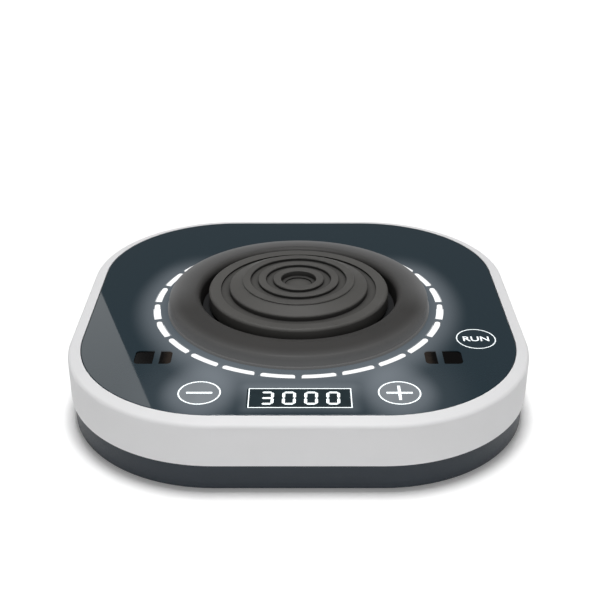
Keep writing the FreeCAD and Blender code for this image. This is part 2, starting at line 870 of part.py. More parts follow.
def sensor_blocks():
    body = new_body("sensor_blocks")
    blocks = []
    for side in (-1, 1):
        span = side_span(side, "sensor_near", "sensor_far")
        blocks.append(box(*span, "dims.sensor_front", "dims.sensor_back"))
    add(body, several(*blocks), BOARD_TOP, f"{BOARD_TOP} + dims.sensor_block")


def touch_pads():
    body = new_body("touch_pads")
    draws = [disc("dims.pad_rad", f"{side} * dims.key_place", "dims.key_front") for side in (-1, 1)]
    draws.append(disc("dims.pad_rad", "dims.run_place", "dims.run_front"))
    add(body, several(*draws), BOARD_TOP, PANEL_LOW)


def rubber_feet():
    body = new_body("rubber_feet")
    foot = add(
        body, disc("dims.foot_rad", *FOOT), GROUND, "dims.foot_drop + dims.foot_sunk"
    )
    edge = round_edges(body, "dims.foot_round", on_level(GROUND))
    polar(body, [foot, edge], "4")


# Steel plate that carries the motor, held on four rubber grommets.
def chassis_plate():
    body = new_body("chassis_plate")
    add(body, square("dims.chassis_half", "dims.chassis_corner"), CHASSIS_LOW, CHASSIS_TOP)
    cut(body, disc("dims.chassis_hole"), CHASSIS_LOW, CHASSIS_TOP)
    mount = cut(body, disc("dims.mount_neck", *MOUNT), CHASSIS_LOW, CHASSIS_TOP)
    post = cut(body, disc("dims.post_stub", "dims.post_place"), CHASSIS_LOW, CHASSIS_TOP)
    polar(body, [mount, post], "4")
    screw = cut(body, disc("dims.small_pilot", "dims.motor_screw_place"), CHASSIS_LOW, CHASSIS_TOP)
    polar(body, [screw], "3")


def rubber_mounts():
    body = new_body("rubber_mounts")
    made = [
        add(body, disc("dims.mount_rad", *MOUNT), MOUNT_LOW, CHASSIS_LOW),
        add(body, disc("dims.mount_neck", *MOUNT), CHASSIS_LOW, CHASSIS_TOP),
        add(body, disc("dims.mount_rad", *MOUNT), CHASSIS_TOP, MOUNT_TOP),
        cut(body, disc("dims.mount_bore", *MOUNT), MOUNT_LOW, MOUNT_TOP),
    ]
    polar(body, made, "4")


def deck_posts():
    body = new_body("deck_posts")
    made = [
        add(body, disc("dims.post_stub", "dims.post_place"), CHASSIS_LOW, CHASSIS_TOP),
        add(body, disc("dims.post_rad", "dims.post_place"), CHASSIS_TOP, DECK_FLANGE_LOW),
        cut(
            body,
            disc("dims.small_pilot", "dims.post_place"),
            f"{DECK_FLANGE_LOW} - dims.post_rad * 2",
            DECK_FLANGE_LOW,
        ),
    ]
    polar(body, made, "4")


# Deck under the cup: keeps spills out of the motor and holds the guide pins.
def top_deck():
    body = new_body("top_deck")
    low = f"{DECK_TOP} - dims.deck_thick"
    dam_top = f"{PANEL} + dims.deck_dam_rise"
    wall = "dims.deck_rad - dims.deck_wall"
    revolve(
        body,
        [
            ("dims.deck_hole", low),
            (wall, low),
            (wall, DECK_FLANGE_LOW),
            ("dims.deck_flange_rad", DECK_FLANGE_LOW),
            ("dims.deck_flange_rad", DECK_FLANGE_TOP),
            ("dims.deck_rad", DECK_FLANGE_TOP),
            ("dims.deck_rad", DECK_TOP),
            ("dims.deck_dam", DECK_TOP),
            ("dims.deck_dam", dam_top),
            ("dims.deck_hole", dam_top),
        ],
    )
    boss_low = f"{PANEL} - dims.guide_boss_drop"
    boss = add(body, disc("dims.guide_boss_rad", *GUIDE), boss_low, low)
    hole = cut(body, disc("dims.guide_pin_rad", *GUIDE), boss_low, DECK_TOP)
    polar(body, [boss, hole], "dims.guide_count")
    sink = cut(
        body,
        disc("dims.small_head + dims.fit_gap", "dims.post_place"),
        f"{DECK_FLANGE_TOP} - dims.small_head_high",
        DECK_FLANGE_TOP,
    )
    through = cut(body, disc("dims.small_pilot", "dims.post_place"), DECK_FLANGE_LOW, DECK_FLANGE_TOP)
    polar(body, [sink, through], "4")


def guide_pins():
    body = new_body("guide_pins")
    pin = add(
        body,
        disc("dims.guide_pin_rad", *GUIDE),
        f"{PANEL} - dims.guide_boss_drop",
        f"{PANEL} + dims.guide_pin_rise",
    )
    polar(body, [pin], "dims.guide_count")


# Motor: fixed base with a bearing tube, wound stator, and a bell with magnets turning round it.
def motor_base():
    body = new_body("motor_base")
    flange_top = f"{CHASSIS_TOP} + dims.motor_flange_thick"
    revolve(
        body,
        [
            ("dims.small_outer_rad", CHASSIS_TOP),
            ("dims.motor_flange_rad", CHASSIS_TOP),
            ("dims.motor_flange_rad", flange_top),
            ("dims.tube_rad", flange_top),
            ("dims.tube_rad", TUBE_TOP),
            ("dims.small_outer_rad", TUBE_TOP),
        ],
    )
    hole = cut(body, disc("dims.small_pilot", "dims.motor_screw_place"), CHASSIS_TOP, flange_top)
    polar(body, [hole], "3")


def small_bearing_levels():
    lower = f"({CHASSIS_TOP} + dims.small_lift)"
    upper = f"({lower} + dims.small_width + dims.small_gap)"
    return lower, upper


def bearing_rings(label, inner, outer, levels, width, ball_place, ball_rad):
    body = new_body(label)
    for low in levels:
        high = f"{low} + {width}"
        revolve(body, ring_outline(inner, outer, low, high))
    for low in levels:
        groove(body, disc(f"{ball_rad} + dims.race_gap", ball_place, f"{low} + {width} / 2"))
    return body


def bearing_balls(label, levels, width, ball_place, ball_rad, count):
    body = new_body(label)
    balls = []
    for low in levels:
        ball = body.newObject("PartDesign::AdditiveSphere", f"{label}_ball")
        ball.AttachmentSupport = [(origin_item(body, "XY_Plane"), "")]
        ball.MapMode = "FlatFace"
        ball.setExpression("Radius", ball_rad)
        ball.setExpression("AttachmentOffset.Base.x", ball_place)
        ball.setExpression("AttachmentOffset.Base.z", f"{low} + {width} / 2")
        balls.append(ball)
    doc.recompute()
    polar(body, balls, count)
    return body


def motor_bearings():
    levels = small_bearing_levels()
    near = "dims.small_ball_place - dims.race_land"
    far = "dims.small_ball_place + dims.race_land"
    ball = ("dims.small_width", "dims.small_ball_place", "dims.small_ball_rad")
    bearing_rings("motor_bearing_outers", far, "dims.small_outer_rad", levels, *ball)
    bearing_rings("motor_bearing_inners", "dims.shaft_rad", near, levels, *ball)
    bearing_balls("motor_bearing_balls", levels, *ball, "dims.small_ball_count")


def stator_core():
    body = new_body("stator_core")
    top = f"{CORE_LOW} + dims.core_thick"
    half = "dims.tooth_half"
    revolve(body, ring_outline("dims.tube_rad", "dims.core_yoke", CORE_LOW, top))
    arm = box(f"dims.core_yoke - {half} / 2", f"dims.core_shoe + {half} / 2", f"-{half}", half)
    tooth = add(body, arm, CORE_LOW, top)
    shoe = revolve(
        body,
        ring_outline("dims.core_shoe", "dims.core_rad", CORE_LOW, top),
        angle="dims.shoe_angle",
        turn="-dims.shoe_angle / 2",
    )
    polar(body, [tooth, shoe], "dims.tooth_count")


def stator_windings():
    body = new_body("stator_windings")
    top = f"{CORE_LOW} + dims.core_thick"
    half = "dims.tooth_half + dims.coil_side"
    coil = add(
        body,
        box("dims.coil_near", "dims.coil_far", f"-({half})", half),
        f"{CORE_LOW} - dims.coil_end",
        f"{top} + dims.coil_end",
    )
    tooth = box("dims.coil_near", "dims.coil_far", "-dims.tooth_half", "dims.tooth_half")
    core = cut(body, tooth, CORE_LOW, top)
    polar(body, [coil, core], "dims.tooth_count")


def motor_leads():
    body = new_body("motor_leads")
    sketch = new_sketch(body, "XZ_Plane", "-dims.driver_near")
    for wire in range(3):
        circle(
            sketch,
            "dims.lead_rad",
            f"dims.lead_side + {wire} * dims.lead_pitch",
            f"{CHASSIS_TOP} + dims.lead_rad",
        )
    pad(body, sketch, "dims.driver_near - dims.lead_near")


def rotor():
    body = new_body("rotor_bell")
    wall = "dims.bell_rad - dims.bell_wall"
    top = f"{BELL_ROOF} + dims.bell_top"
    revolve(
        body,
        [
            ("dims.shaft_rad", TUBE_TOP),
            ("dims.bell_boss", TUBE_TOP),
            ("dims.bell_boss", BELL_ROOF),
            (wall, BELL_ROOF),
            (wall, BELL_LOW),
            ("dims.bell_rad", BELL_LOW),
            ("dims.bell_rad", top),
            ("dims.shaft_rad", top),
        ],
    )
    low = f"{BELL_LOW} + dims.fit_gap"
    tube("rotor_magnet", f"{wall} - dims.magnet_thick", wall, low, f"{low} + dims.magnet_long")


def clip_ring(label, low, shift):
    body = tube(label, "dims.clip_root", "dims.clip_rad", low, f"{low} + dims.clip_thick")
    cut(
        body,
        box("0", "dims.clip_rad * 2", "-dims.clip_root / 2", "dims.clip_root / 2"),
        low,
        f"{low} + dims.clip_thick",
    )
    body.setExpression("Placement.Base.y", shift)
    return body


def clip_groove(body, low, radius):
    groove(body, box("dims.clip_root", radius, low, f"{low} + dims.clip_thick"))


def motor_shaft():
    body = new_body("motor_shaft")
    low = f"{CHASSIS_TOP} - dims.shaft_low"
    add(body, disc("dims.shaft_rad"), low, SHAFT_TOP)
    clip_low = f"({CHASSIS_TOP} + dims.small_lift - dims.clip_thick - dims.clip_play)"
    clip_groove(body, clip_low, "dims.shaft_rad * 2")
    clip_ring("shaft_clip", clip_low, "0")


# Crank on the shaft: a hub with a pin whose axis stands off the motor axis by the orbit radius.
def eccentric_hub():
    body = new_body("eccentric_hub")
    add(body, disc("dims.hub_rad"), HUB_LOW, HUB_TOP)
    cut(body, disc("dims.shaft_rad"), HUB_LOW, SHAFT_TOP)
    add(body, disc("dims.pin_shoulder", *CRANK), HUB_TOP, BEARING_LOW)
    add(body, disc("dims.pin_rad", *CRANK), BEARING_LOW, f"{PANEL} + dims.pin_rise")
    clip_low = f"({BEARING_TOP} + dims.clip_play)"
    ring = several(
        disc("dims.pin_rad * 2", *CRANK),
        disc("dims.clip_root", *CRANK),
    )
    cut(body, ring, clip_low, f"{clip_low} + dims.clip_thick")
    sketch = new_sketch(body, "YZ_Plane", "dims.shaft_rad - dims.slot_gap")
    middle = f"({HUB_LOW} + {SHAFT_TOP}) / 2"
    circle(sketch, "dims.set_screw_rad", "0", middle)
    pocket(body, sketch, "dims.hub_rad", reverse=True)
    clip_ring("pin_clip", clip_low, "dims.orbit_rad")
    screw = new_body("hub_set_screw")
    sketch = new_sketch(screw, "YZ_Plane", "dims.shaft_rad")
    circle(sketch, "dims.set_screw_rad", "0", middle)
    pad(screw, sketch, "dims.set_screw_end - dims.shaft_rad")


def counterweight():
    low = f"{HUB_LOW} + dims.weight_lift"
    high = f"{low} + dims.weight_thick"
    body = tube("counterweight", "dims.hub_rad", "dims.weight_collar", low, high)
    revolve(
        body,
        ring_outline("dims.hub_rad", "dims.weight_rad", low, high),
        angle="180",
        backward=True,
    )
    through = new_sketch(body, "YZ_Plane", "dims.hub_rad - dims.weight_lift")
    circle(through, "dims.set_screw_rad", "0", f"({HUB_LOW} + {SHAFT_TOP}) / 2")
    pocket(body, through, "dims.weight_rad", reverse=True)


def head_bearing():
    near = "dims.bearing_ball_place - dims.race_land"
    far = "dims.bearing_ball_place + dims.race_land"
    ball = ("dims.bearing_width", "dims.bearing_ball_place", "dims.bearing_ball_rad")
    made = [
        bearing_rings("head_bearing_outer", far, "dims.bearing_outer", [BEARING_LOW], *ball),
        bearing_rings("head_bearing_inner", "dims.pin_rad", near, [BEARING_LOW], *ball),
        bearing_balls("head_bearing_balls", [BEARING_LOW], *ball, "dims.bearing_ball_count"),
    ]
    for body in made:
        body.setExpression("Placement.Base.y", "dims.orbit_rad")


# Carrier: turns on the crank pin through the bearing and holds the rubber cup.
def cup_carrier():
    body = new_body("cup_carrier")
    low = f"{PANEL} - dims.carrier_hub_drop"
    plate_low = f"{PANEL} + dims.carrier_low"
    plate_top = f"{PANEL} + dims.carrier_high"
    revolve(
        body,
        [
            ("dims.bearing_outer", low),
            ("dims.carrier_hub", low),
            ("dims.carrier_hub", plate_low),
            ("dims.carrier_rad", plate_low),
            ("dims.carrier_rad", plate_top),
            ("dims.carrier_lip", plate_top),
            ("dims.carrier_lip", BEARING_TOP),
            ("dims.bearing_outer", BEARING_TOP),
        ],
    )
    clip_low = f"({BEARING_LOW} - dims.clip_thick - dims.clip_play)"
    clip_top = f"{clip_low} + dims.clip_thick"
    groove(body, box("dims.carrier_lip", "dims.circlip_root", clip_low, clip_top))
    hole = cut(body, disc("dims.bush_rad", *GUIDE), plate_low, plate_top)
    polar(body, [hole], "dims.guide_count")
    body.setExpression("Placement.Base.y", "dims.orbit_rad")
    circlip = tube("bearing_circlip", "dims.circlip_inner", "dims.circlip_root", clip_low, clip_top)
    cut(
        circlip,
        box("0", "dims.circlip_root * 2", "-dims.clip_root / 2", "dims.clip_root / 2"),
        clip_low,
        clip_top,
    )
    circlip.setExpression("Placement.Base.y", "dims.orbit_rad")
    bushes = new_body("guide_bushes")
    bush = add(bushes, disc("dims.bush_rad", *GUIDE), plate_low, plate_top)
    play = "dims.guide_pin_rad + dims.orbit_rad + dims.bush_play"
    bore = cut(bushes, disc(play, *GUIDE), plate_low, plate_top)
    polar(bushes, [bush, bore], "dims.guide_count")
    bushes.setExpression("Placement.Base.y", "dims.orbit_rad")


# Rubber cup: ribbed tier with a seat for the tube, a groove, and a lip with a skirt over the carrier.
def mixing_cup():
    body = new_body("mixing_cup")

    def above(alias):
        return f"{PANEL} + dims.{alias}"

    inside = "dims.cup_lip_rad - dims.cup_wall"
    ribs = ("one", "two", "three")
    outline = [
        ("0", above("seat_well")),
        ("dims.seat_well_rad", above("seat_well")),
        ("dims.seat_well_rad", above("seat_floor")),
    ]
    crests = []
    foot = "seat_floor"
    for rib in ribs:
        near = f"dims.rib_{rib}_near"
        far = f"dims.rib_{rib}_far"
        outline += [(near, above(foot)), (near, above("rib_top")), (far, above("rib_top"))]
        foot = "rib_outer_foot" if rib == ribs[-1] else "rib_foot"
        outline.append((far, above(foot)))
        crests += [(near, above("rib_top")), (far, above("rib_top"))]
    outline += [
        ("dims.tier_rad", above("tier_edge")),
        ("dims.tier_rad", above("cup_groove")),
        ("dims.cup_groove_far", above("cup_groove")),
        ("dims.cup_groove_far", above("cup_lip_inner")),
        ("dims.cup_lip_rad", above("cup_lip_top")),
        ("dims.cup_lip_rad", above("cup_skirt")),
        (inside, above("cup_skirt")),
        (inside, above("cup_roof")),
        ("dims.cup_dome_rad", above("cup_roof")),
        ("dims.cup_dome_rad", above("cup_dome")),
        ("0", above("cup_dome")),
    ]
    revolve(body, outline)
    round_edges(body, "dims.rib_round", on_circles(*crests))
    round_edges(body, "dims.tier_round", on_circles(("dims.tier_rad", above("tier_edge"))))
    round_edges(body, "dims.lip_round", on_circles(("dims.cup_lip_rad", above("cup_lip_top"))))
    body.setExpression("Placement.Base.y", "dims.orbit_rad")


# Power board at the back with its inlet.
def driver_board():
    body = new_body("driver_board")
    add(
        body,
        box("-dims.driver_half", "dims.driver_half", "dims.driver_near", "dims.driver_far"),
        "dims.driver_low",
        DRIVER_TOP,
    )
    places = [(f"{side} * dims.driver_post_place", "dims.driver_post_back") for side in (-1, 1)]
    holes = [disc("dims.small_pilot", *place) for place in places]
    cut(body, several(*holes), "dims.driver_low", DRIVER_TOP)
    screw = new_body("driver_screws")
    head_top = f"{DRIVER_TOP} + dims.small_head_high"
    add(screw, several(*[disc("dims.small_head", *place) for place in places]), DRIVER_TOP, head_top)
    add(screw, several(*[disc("dims.small_thread", *place) for place in places]), FLOOR, DRIVER_TOP)
    cut(
        screw,
        several(*[hexagon("dims.hex_rad", *place) for place in places]),
        f"{head_top} - dims.small_head_high / 2",
        head_top,
    )
    parts = new_body("driver_parts")
    back = "dims.driver_near + dims.driver_part_deep"
    plug = ("dims.plug_side - dims.plug_half", "dims.plug_side + dims.plug_half")
    lead_plug = box(*plug, "dims.driver_near", back)
    choke = box("-dims.coil_box_far", "-dims.coil_box_near", "dims.driver_near + dims.fit_gap", back)
    capacitor = disc("dims.capacitor_rad", "dims.capacitor_side", back)
    add(parts, several(capacitor, lead_plug, choke), DRIVER_TOP, f"{DRIVER_TOP} + dims.driver_part_high")
    header = new_body("board_header")
    add(
        header,
        box(
            "dims.header_side - dims.header_half",
            "dims.header_side + dims.header_half",
            "dims.header_front",
            "dims.header_back",
        ),
        DRIVER_TOP,
        BOARD_LOW,
    )


def dc_jack():
    body = new_body("dc_jack")
    add(
        body,
        box("-dims.jack_half", "dims.jack_half", "dims.jack_near", "dims.jack_far"),
        DRIVER_TOP,
        f"{DRIVER_TOP} + dims.jack_high",
    )
    mouth = "(dims.ring_half - dims.jack_sunk)"
    nose = new_sketch(body, "XZ_Plane", f"-{mouth}")
    circle(nose, "dims.jack_nose", "0", "dims.jack_axis")
    pad(body, nose, f"{mouth} - dims.jack_far")
    bore = new_sketch(body, "XZ_Plane", f"-{mouth}")
    circle(bore, "dims.jack_bore", "0", "dims.jack_axis")
    pocket(body, bore, "dims.jack_deep", reverse=True)
    pin = new_body("dc_jack_pin")
    sketch = new_sketch(pin, "XZ_Plane", f"dims.jack_sunk * 2 - {mouth}")
    circle(sketch, "dims.jack_pin", "0", "dims.jack_axis")
    pad(pin, sketch, "dims.jack_deep - dims.jack_sunk * 2")


def all_screws():
    head_low = "dims.foot_drop + dims.bore_deep - dims.head_high"
    head_top = "dims.foot_drop + dims.bore_deep"
    screws(
        "base_screws",
        *BOSS,
        ("dims.head_rad", head_low, head_top),
        ("dims.thread_rad", head_top, f"{LEDGE_LOW} - dims.fit_gap * 2"),
        (head_low, f"{head_low} + dims.hex_deep"),
        "4",
    )
    mount_head = f"{MOUNT_TOP} + dims.head_high"
    screws(
        "mount_screws",
        *MOUNT,
        ("dims.head_rad", MOUNT_TOP, mount_head),
        ("dims.thread_rad", f"{BASE_LOW} + dims.foot_sunk + dims.fit_gap", MOUNT_TOP),
        (f"{mount_head} - dims.hex_deep", mount_head),
        "4",
    )
    motor_head = f"({CHASSIS_LOW} - dims.small_head_high)"
    screws(
        "motor_screws",
        "dims.motor_screw_place",
        "0",
        ("dims.small_head", motor_head, CHASSIS_LOW),
        ("dims.small_thread", CHASSIS_LOW, f"{CHASSIS_TOP} + dims.motor_flange_thick"),
        (motor_head, f"{motor_head} + dims.small_head_high / 2"),
        "3",
    )
    sink = f"({DECK_FLANGE_TOP} - dims.small_head_high)"
    screws(
        "deck_screws",
        "dims.post_place",
        "0",
        ("dims.small_head", sink, DECK_FLANGE_TOP),
        ("dims.small_thread", f"{DECK_FLANGE_LOW} - dims.post_rad", sink),
        (f"{DECK_FLANGE_TOP} - dims.small_head_high / 2", DECK_FLANGE_TOP),
        "4",
    )
    board_head = f"({BOARD_LOW} - dims.small_head_high)"
    screws(
        "board_screws",
        *BOARD_SCREW,
        ("dims.small_head", board_head, BOARD_LOW),
        ("dims.small_thread", BOARD_LOW, f"{LEDGE_LOW} + dims.fit_gap * 4"),
        (board_head, f"{board_head} + dims.small_head_high / 2"),
        "4",
    )


base_tray()
housing_ring()
top_panel()
panel_tape()
rubber_collar()
light_guide()
ring_leds()
control_board()
board_chips()
display_module()
display_window()
sensor_lens("sensor_lens_left", -1)
sensor_lens("sensor_lens_right", 1)
sensor_blocks()
touch_pads()
rubber_feet()
chassis_plate()
rubber_mounts()
deck_posts()
top_deck()
guide_pins()
motor_base()
motor_bearings()
stator_core()
stator_windings()
motor_leads()
rotor()
motor_shaft()
eccentric_hub()
counterweight()
head_bearing()
cup_carrier()
mixing_cup()
driver_board()
dc_jack()
all_screws()

doc.recompute()
for item in doc.Objects:
    if "Invalid" in item.State or "Error" in item.State:
        raise RuntimeError(f"{item.Label} did not rebuild")
os.makedirs("parts", exist_ok=True)
for body in bodies:
    if body.Shape.isNull() or not body.Shape.isValid():
        raise RuntimeError(f"{body.Label} has no sound shape")
    body.Shape.exportStep(f"parts/{body.Label}.step")
    extent = body.Shape.BoundBox
    print(f"{body.Label}: {len(body.Shape.Solids)} solids, {body.Shape.Volume:.1f} mm3,"
          f" z {extent.ZMin:.2f} to {extent.ZMax:.2f}")
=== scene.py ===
import math
import bmesh
import bpy
from mathutils import Matrix, Vector


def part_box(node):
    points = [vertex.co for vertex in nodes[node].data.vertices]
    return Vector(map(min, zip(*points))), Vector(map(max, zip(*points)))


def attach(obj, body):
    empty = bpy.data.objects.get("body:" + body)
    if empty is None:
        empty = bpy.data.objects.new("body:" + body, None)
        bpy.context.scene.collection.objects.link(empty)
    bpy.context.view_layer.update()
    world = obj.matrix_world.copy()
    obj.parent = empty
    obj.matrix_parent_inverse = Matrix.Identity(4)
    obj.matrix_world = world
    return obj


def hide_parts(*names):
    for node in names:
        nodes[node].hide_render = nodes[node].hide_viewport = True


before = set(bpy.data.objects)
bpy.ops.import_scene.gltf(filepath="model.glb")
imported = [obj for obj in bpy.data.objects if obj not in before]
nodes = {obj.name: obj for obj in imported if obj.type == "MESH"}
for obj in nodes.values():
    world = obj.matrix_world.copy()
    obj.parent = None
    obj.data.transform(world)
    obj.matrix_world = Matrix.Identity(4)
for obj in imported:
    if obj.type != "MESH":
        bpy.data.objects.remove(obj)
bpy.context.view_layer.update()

mm = 0.001
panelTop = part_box("top_panel")[1].z  # everything printed lies on this face
print("frame loaded:", len(nodes), "nodes")


def linear(hexColour):  # sRGB hex to the linear colour that shaders take
    parts = [int(hexColour[i:i + 2], 16) / 255 for i in (1, 3, 5)]
    return tuple(c / 12.92 if c <= 0.04045 else ((c + 0.055) / 1.055) ** 2.4 for c in parts) + (1.0,)


def setInputs(tree, node, inputs):  # a node or a socket is linked, anything else is a fixed value
    for name, given in inputs.items():
        key = int(name[1:]) if name[1:].isdigit() else name.replace("_", " ")  # i0 is the first input
        if isinstance(given, bpy.types.Node):
            given = given.outputs[0]
        if isinstance(given, bpy.types.NodeSocket):
            tree.links.new(given, node.inputs[key])
        else:
            node.inputs[key].default_value = given


def addNode(tree, kind, settings=None, **inputs):  # adds a node, sets it and links it
    node = tree.nodes.new(kind)
    for name, setting in (settings or {}).items():
        setattr(node, name, setting)
    setInputs(tree, node, inputs)
    return node


def newMaterial(name):
    material = bpy.data.materials.new(name)
    material.use_nodes = True
    tree = material.node_tree
    tree.nodes.clear()
    shader = addNode(tree, "ShaderNodeBsdfPrincipled")
    addNode(tree, "ShaderNodeOutputMaterial", Surface=shader)
    place = addNode(tree, "ShaderNodeTexCoord").outputs["Object"]
    return material, tree, shader, place


noiseSpan = {"From_Min": 0.3, "From_Max": 0.7}  # nearly all of a noise texture lies between these


def mottled(tree, colour, pattern, low, high):  # a colour that darkens and lightens with a pattern
    shade = addNode(tree, "ShaderNodeMapRange", Value=pattern, **noiseSpan, To_Min=low, To_Max=high)
    return addNode(tree, "ShaderNodeVectorMath", {"operation": "SCALE"}, i0=linear(colour)[:3], Scale=shade)


plasticLook = {"ior": 1.54, "cloudMm": 25, "glossSpread": 0.05, "grainDepth": 0.05 * mm}


def mouldedPlastic(name, colour, rough, grainMm, depth, spread=0.06, specular=0.5):
    # ABS from a spark-textured mould: even colour, and a fine grain that softens highlights
    # the real grain of about 0.1 mm is too fine to show, so it is drawn several times coarser
    material, tree, shader, place = newMaterial(name)
    grain = addNode(tree, "ShaderNodeTexNoise", Vector=place, Scale=1 / (grainMm * mm), Detail=3.0)
    cloud = addNode(tree, "ShaderNodeTexNoise", Vector=place, Scale=1 / (plasticLook["cloudMm"] * mm),
                    Detail=2.0)
    gloss = addNode(tree, "ShaderNodeMapRange", Value=grain, **noiseSpan,
                    To_Min=rough - plasticLook["glossSpread"], To_Max=rough + plasticLook["glossSpread"])
    bump = addNode(tree, "ShaderNodeBump", Strength=depth, Distance=plasticLook["grainDepth"], Height=grain)
    tint = mottled(tree, colour, cloud, 1 - spread / 2, 1 + spread / 2)
    setInputs(tree, shader, {"Base Color": tint, "Roughness": gloss, "Normal": bump,
                             "IOR": plasticLook["ior"], "Specular IOR Level": specular})
    return material


lightBars = {"bars": 24, "radius": 48.55, "wide": 1.76, "sweep": 10.55, "tall": 2.0, "drop": 0.05,
             "ringWide": 4.2, "ringTall": 2.6, "arcSteps": 20, "tipSteps": 24, "ringSteps": 192}
# painted glow on the collar: it glows beside the bars, and painted side light makes it lighter at the sides
# and back than at the front
collarPaintedGlow = {"reach": 10.0 * mm, "glow": 0.15, "paintedSideReach": 20.0 * mm, "paintedSideLight": 0.14, "colour": "#e8eaec",
               "darkFrom": -16.0 * mm, "lightFrom": 5.0 * mm,  # the painted side light grows from front to back
               "innerDark": 33.8 * mm, "innerLight": 36.0 * mm}  # and stops at the collar's inner edge


def paintedEdgeGlow(tree, place, light):  # painted glow: the rubber beside the bars glows as if lit by them, plus painted side light
    axes = addNode(tree, "ShaderNodeSeparateXYZ", Vector=place)
    flat = addNode(tree, "ShaderNodeCombineXYZ", X=axes.outputs[0], Y=axes.outputs[1])
    radius = addNode(tree, "ShaderNodeVectorMath", {"operation": "LENGTH"}, i0=flat).outputs["Value"]
    off = addNode(tree, "ShaderNodeMath", {"operation": "SUBTRACT"}, i0=radius, i1=lightBars["radius"] * mm)
    rise = addNode(tree, "ShaderNodeMath", {"operation": "SUBTRACT"}, i0=axes.outputs[2], i1=panelTop)
    way = addNode(tree, "ShaderNodeCombineXYZ", X=off, Y=rise)
    gap = addNode(tree, "ShaderNodeVectorMath", {"operation": "LENGTH"}, i0=way).outputs["Value"]
    soft = {"interpolation_type": "SMOOTHSTEP"}
    near, wide = (
        addNode(tree, "ShaderNodeMapRange", soft, Value=gap, From_Min=0.0, From_Max=reach, To_Min=glow,
                To_Max=0.0)
        for reach, glow in ((light["reach"], light["glow"]), (light["paintedSideReach"], light["paintedSideLight"]))
    )
    # painted side light: lighter towards the back than at the front
    side = addNode(tree, "ShaderNodeMapRange", soft, Value=axes.outputs[1], From_Min=light["darkFrom"],
                   From_Max=light["lightFrom"])
    outside = addNode(tree, "ShaderNodeMapRange", soft, Value=radius, From_Min=light["innerDark"],
                      From_Max=light["innerLight"])
    paintedSideLight = addNode(tree, "ShaderNodeMath", {"operation": "MULTIPLY"}, i0=wide, i1=side)
    both = addNode(tree, "ShaderNodeMath", {"operation": "ADD"}, i0=near, i1=paintedSideLight)
    return addNode(tree, "ShaderNodeMath", {"operation": "MULTIPLY"}, i0=both, i1=outside)


rubberLook = {"ior": 1.42, "specular": 0.35, "bloomMm": 9, "bloom": 0.07, "glossSpread": 0.06, "grain": 0.25,
              "grainDepth": 0.04 * mm}
# painted shade in the cup's corners and grooves
cupPaintedShade = {"reach": 3.5 * mm, "from": 0.5, "dark": 0.3, "samples": 8}


def softRubber(name, colour, rough, grainMm, light=None, paintedShade=None):
    # silicone rubber, matt from the mould, with a faint dusty bloom on its high spots
    # its grain is drawn coarser than the real one, so that it shows
    material, tree, shader, place = newMaterial(name)
    grain = addNode(tree, "ShaderNodeTexNoise", Vector=place, Scale=1 / (grainMm * mm), Detail=4.0)
    bloom = addNode(tree, "ShaderNodeTexNoise", Vector=place, Scale=1 / (rubberLook["bloomMm"] * mm),
                    Detail=3.0)
    gloss = addNode(tree, "ShaderNodeMapRange", Value=bloom, **noiseSpan,
                    To_Min=rough - rubberLook["glossSpread"], To_Max=rough + rubberLook["glossSpread"])
    bump = addNode(tree, "ShaderNodeBump", Strength=rubberLook["grain"], Distance=rubberLook["grainDepth"],
                   Height=grain)
    tint = mottled(tree, colour, bloom, 1 - rubberLook["bloom"], 1 + rubberLook["bloom"])
    if paintedShade:  # painted shade: darker in the corners and grooves, where shade falls
        corner = addNode(tree, "ShaderNodeAmbientOcclusion",
                         {"samples": paintedShade["samples"], "only_local": True}, Distance=paintedShade["reach"])
        depth = addNode(tree, "ShaderNodeMapRange", Value=corner.outputs["AO"], From_Min=paintedShade["from"],
                        From_Max=1.0, To_Min=paintedShade["dark"], To_Max=1.0)
        tint = addNode(tree, "ShaderNodeVectorMath", {"operation": "SCALE"}, i0=tint, Scale=depth)
    setInputs(tree, shader, {"Base Color": tint, "Roughness": gloss, "Normal": bump, "IOR": rubberLook["ior"],
                             "Specular IOR Level": rubberLook["specular"]})
    # painted glow from the bars and painted side light, where given
    if light:
        setInputs(tree, shader, {"Emission Strength": paintedEdgeGlow(tree, place, light),
                                 "Emission Color": linear(light["colour"])})
    return material


metalLook = {"lineMm": 0.8, "glossSpread": 0.08, "dark": 0.92, "light": 1.05}


def bareMetal(name, colour, rough, stretch, metal=1.0):
    # machined or rolled metal: fine lines from the tool, so the highlight smears across them
    material, tree, shader, place = newMaterial(name)
    lines = addNode(tree, "ShaderNodeMapping", Vector=place, Scale=stretch)
    streak = addNode(tree, "ShaderNodeTexNoise", Vector=lines, Scale=1 / (metalLook["lineMm"] * mm),
                     Detail=3.0)
    gloss = addNode(tree, "ShaderNodeMapRange", Value=streak, **noiseSpan,
                    To_Min=rough - metalLook["glossSpread"], To_Max=rough + metalLook["glossSpread"])
    tint = mottled(tree, colour, streak, metalLook["dark"], metalLook["light"])
    setInputs(tree, shader, {"Base Color": tint, "Roughness": gloss, "Metallic": metal})
    return material


def litMark(name, colour, strength, body="#dfe6e8", rough=0.4, cloudMm=3, spread=0.04):
    # white ink, diffuser or clear spot in the print, lit from below: glows evenly, a little cloudy
    material, tree, shader, place = newMaterial(name)
    cloud = addNode(tree, "ShaderNodeTexNoise", Vector=place, Scale=1 / (cloudMm * mm), Detail=1.0)
    level = addNode(tree, "ShaderNodeMapRange", Value=cloud, **noiseSpan, To_Min=strength * (1 - spread),
                    To_Max=strength * (1 + spread))
    setInputs(tree, shader, {"Base Color": linear(body), "Roughness": rough, "Emission Color": linear(colour),
                             "Emission Strength": level})
    return material


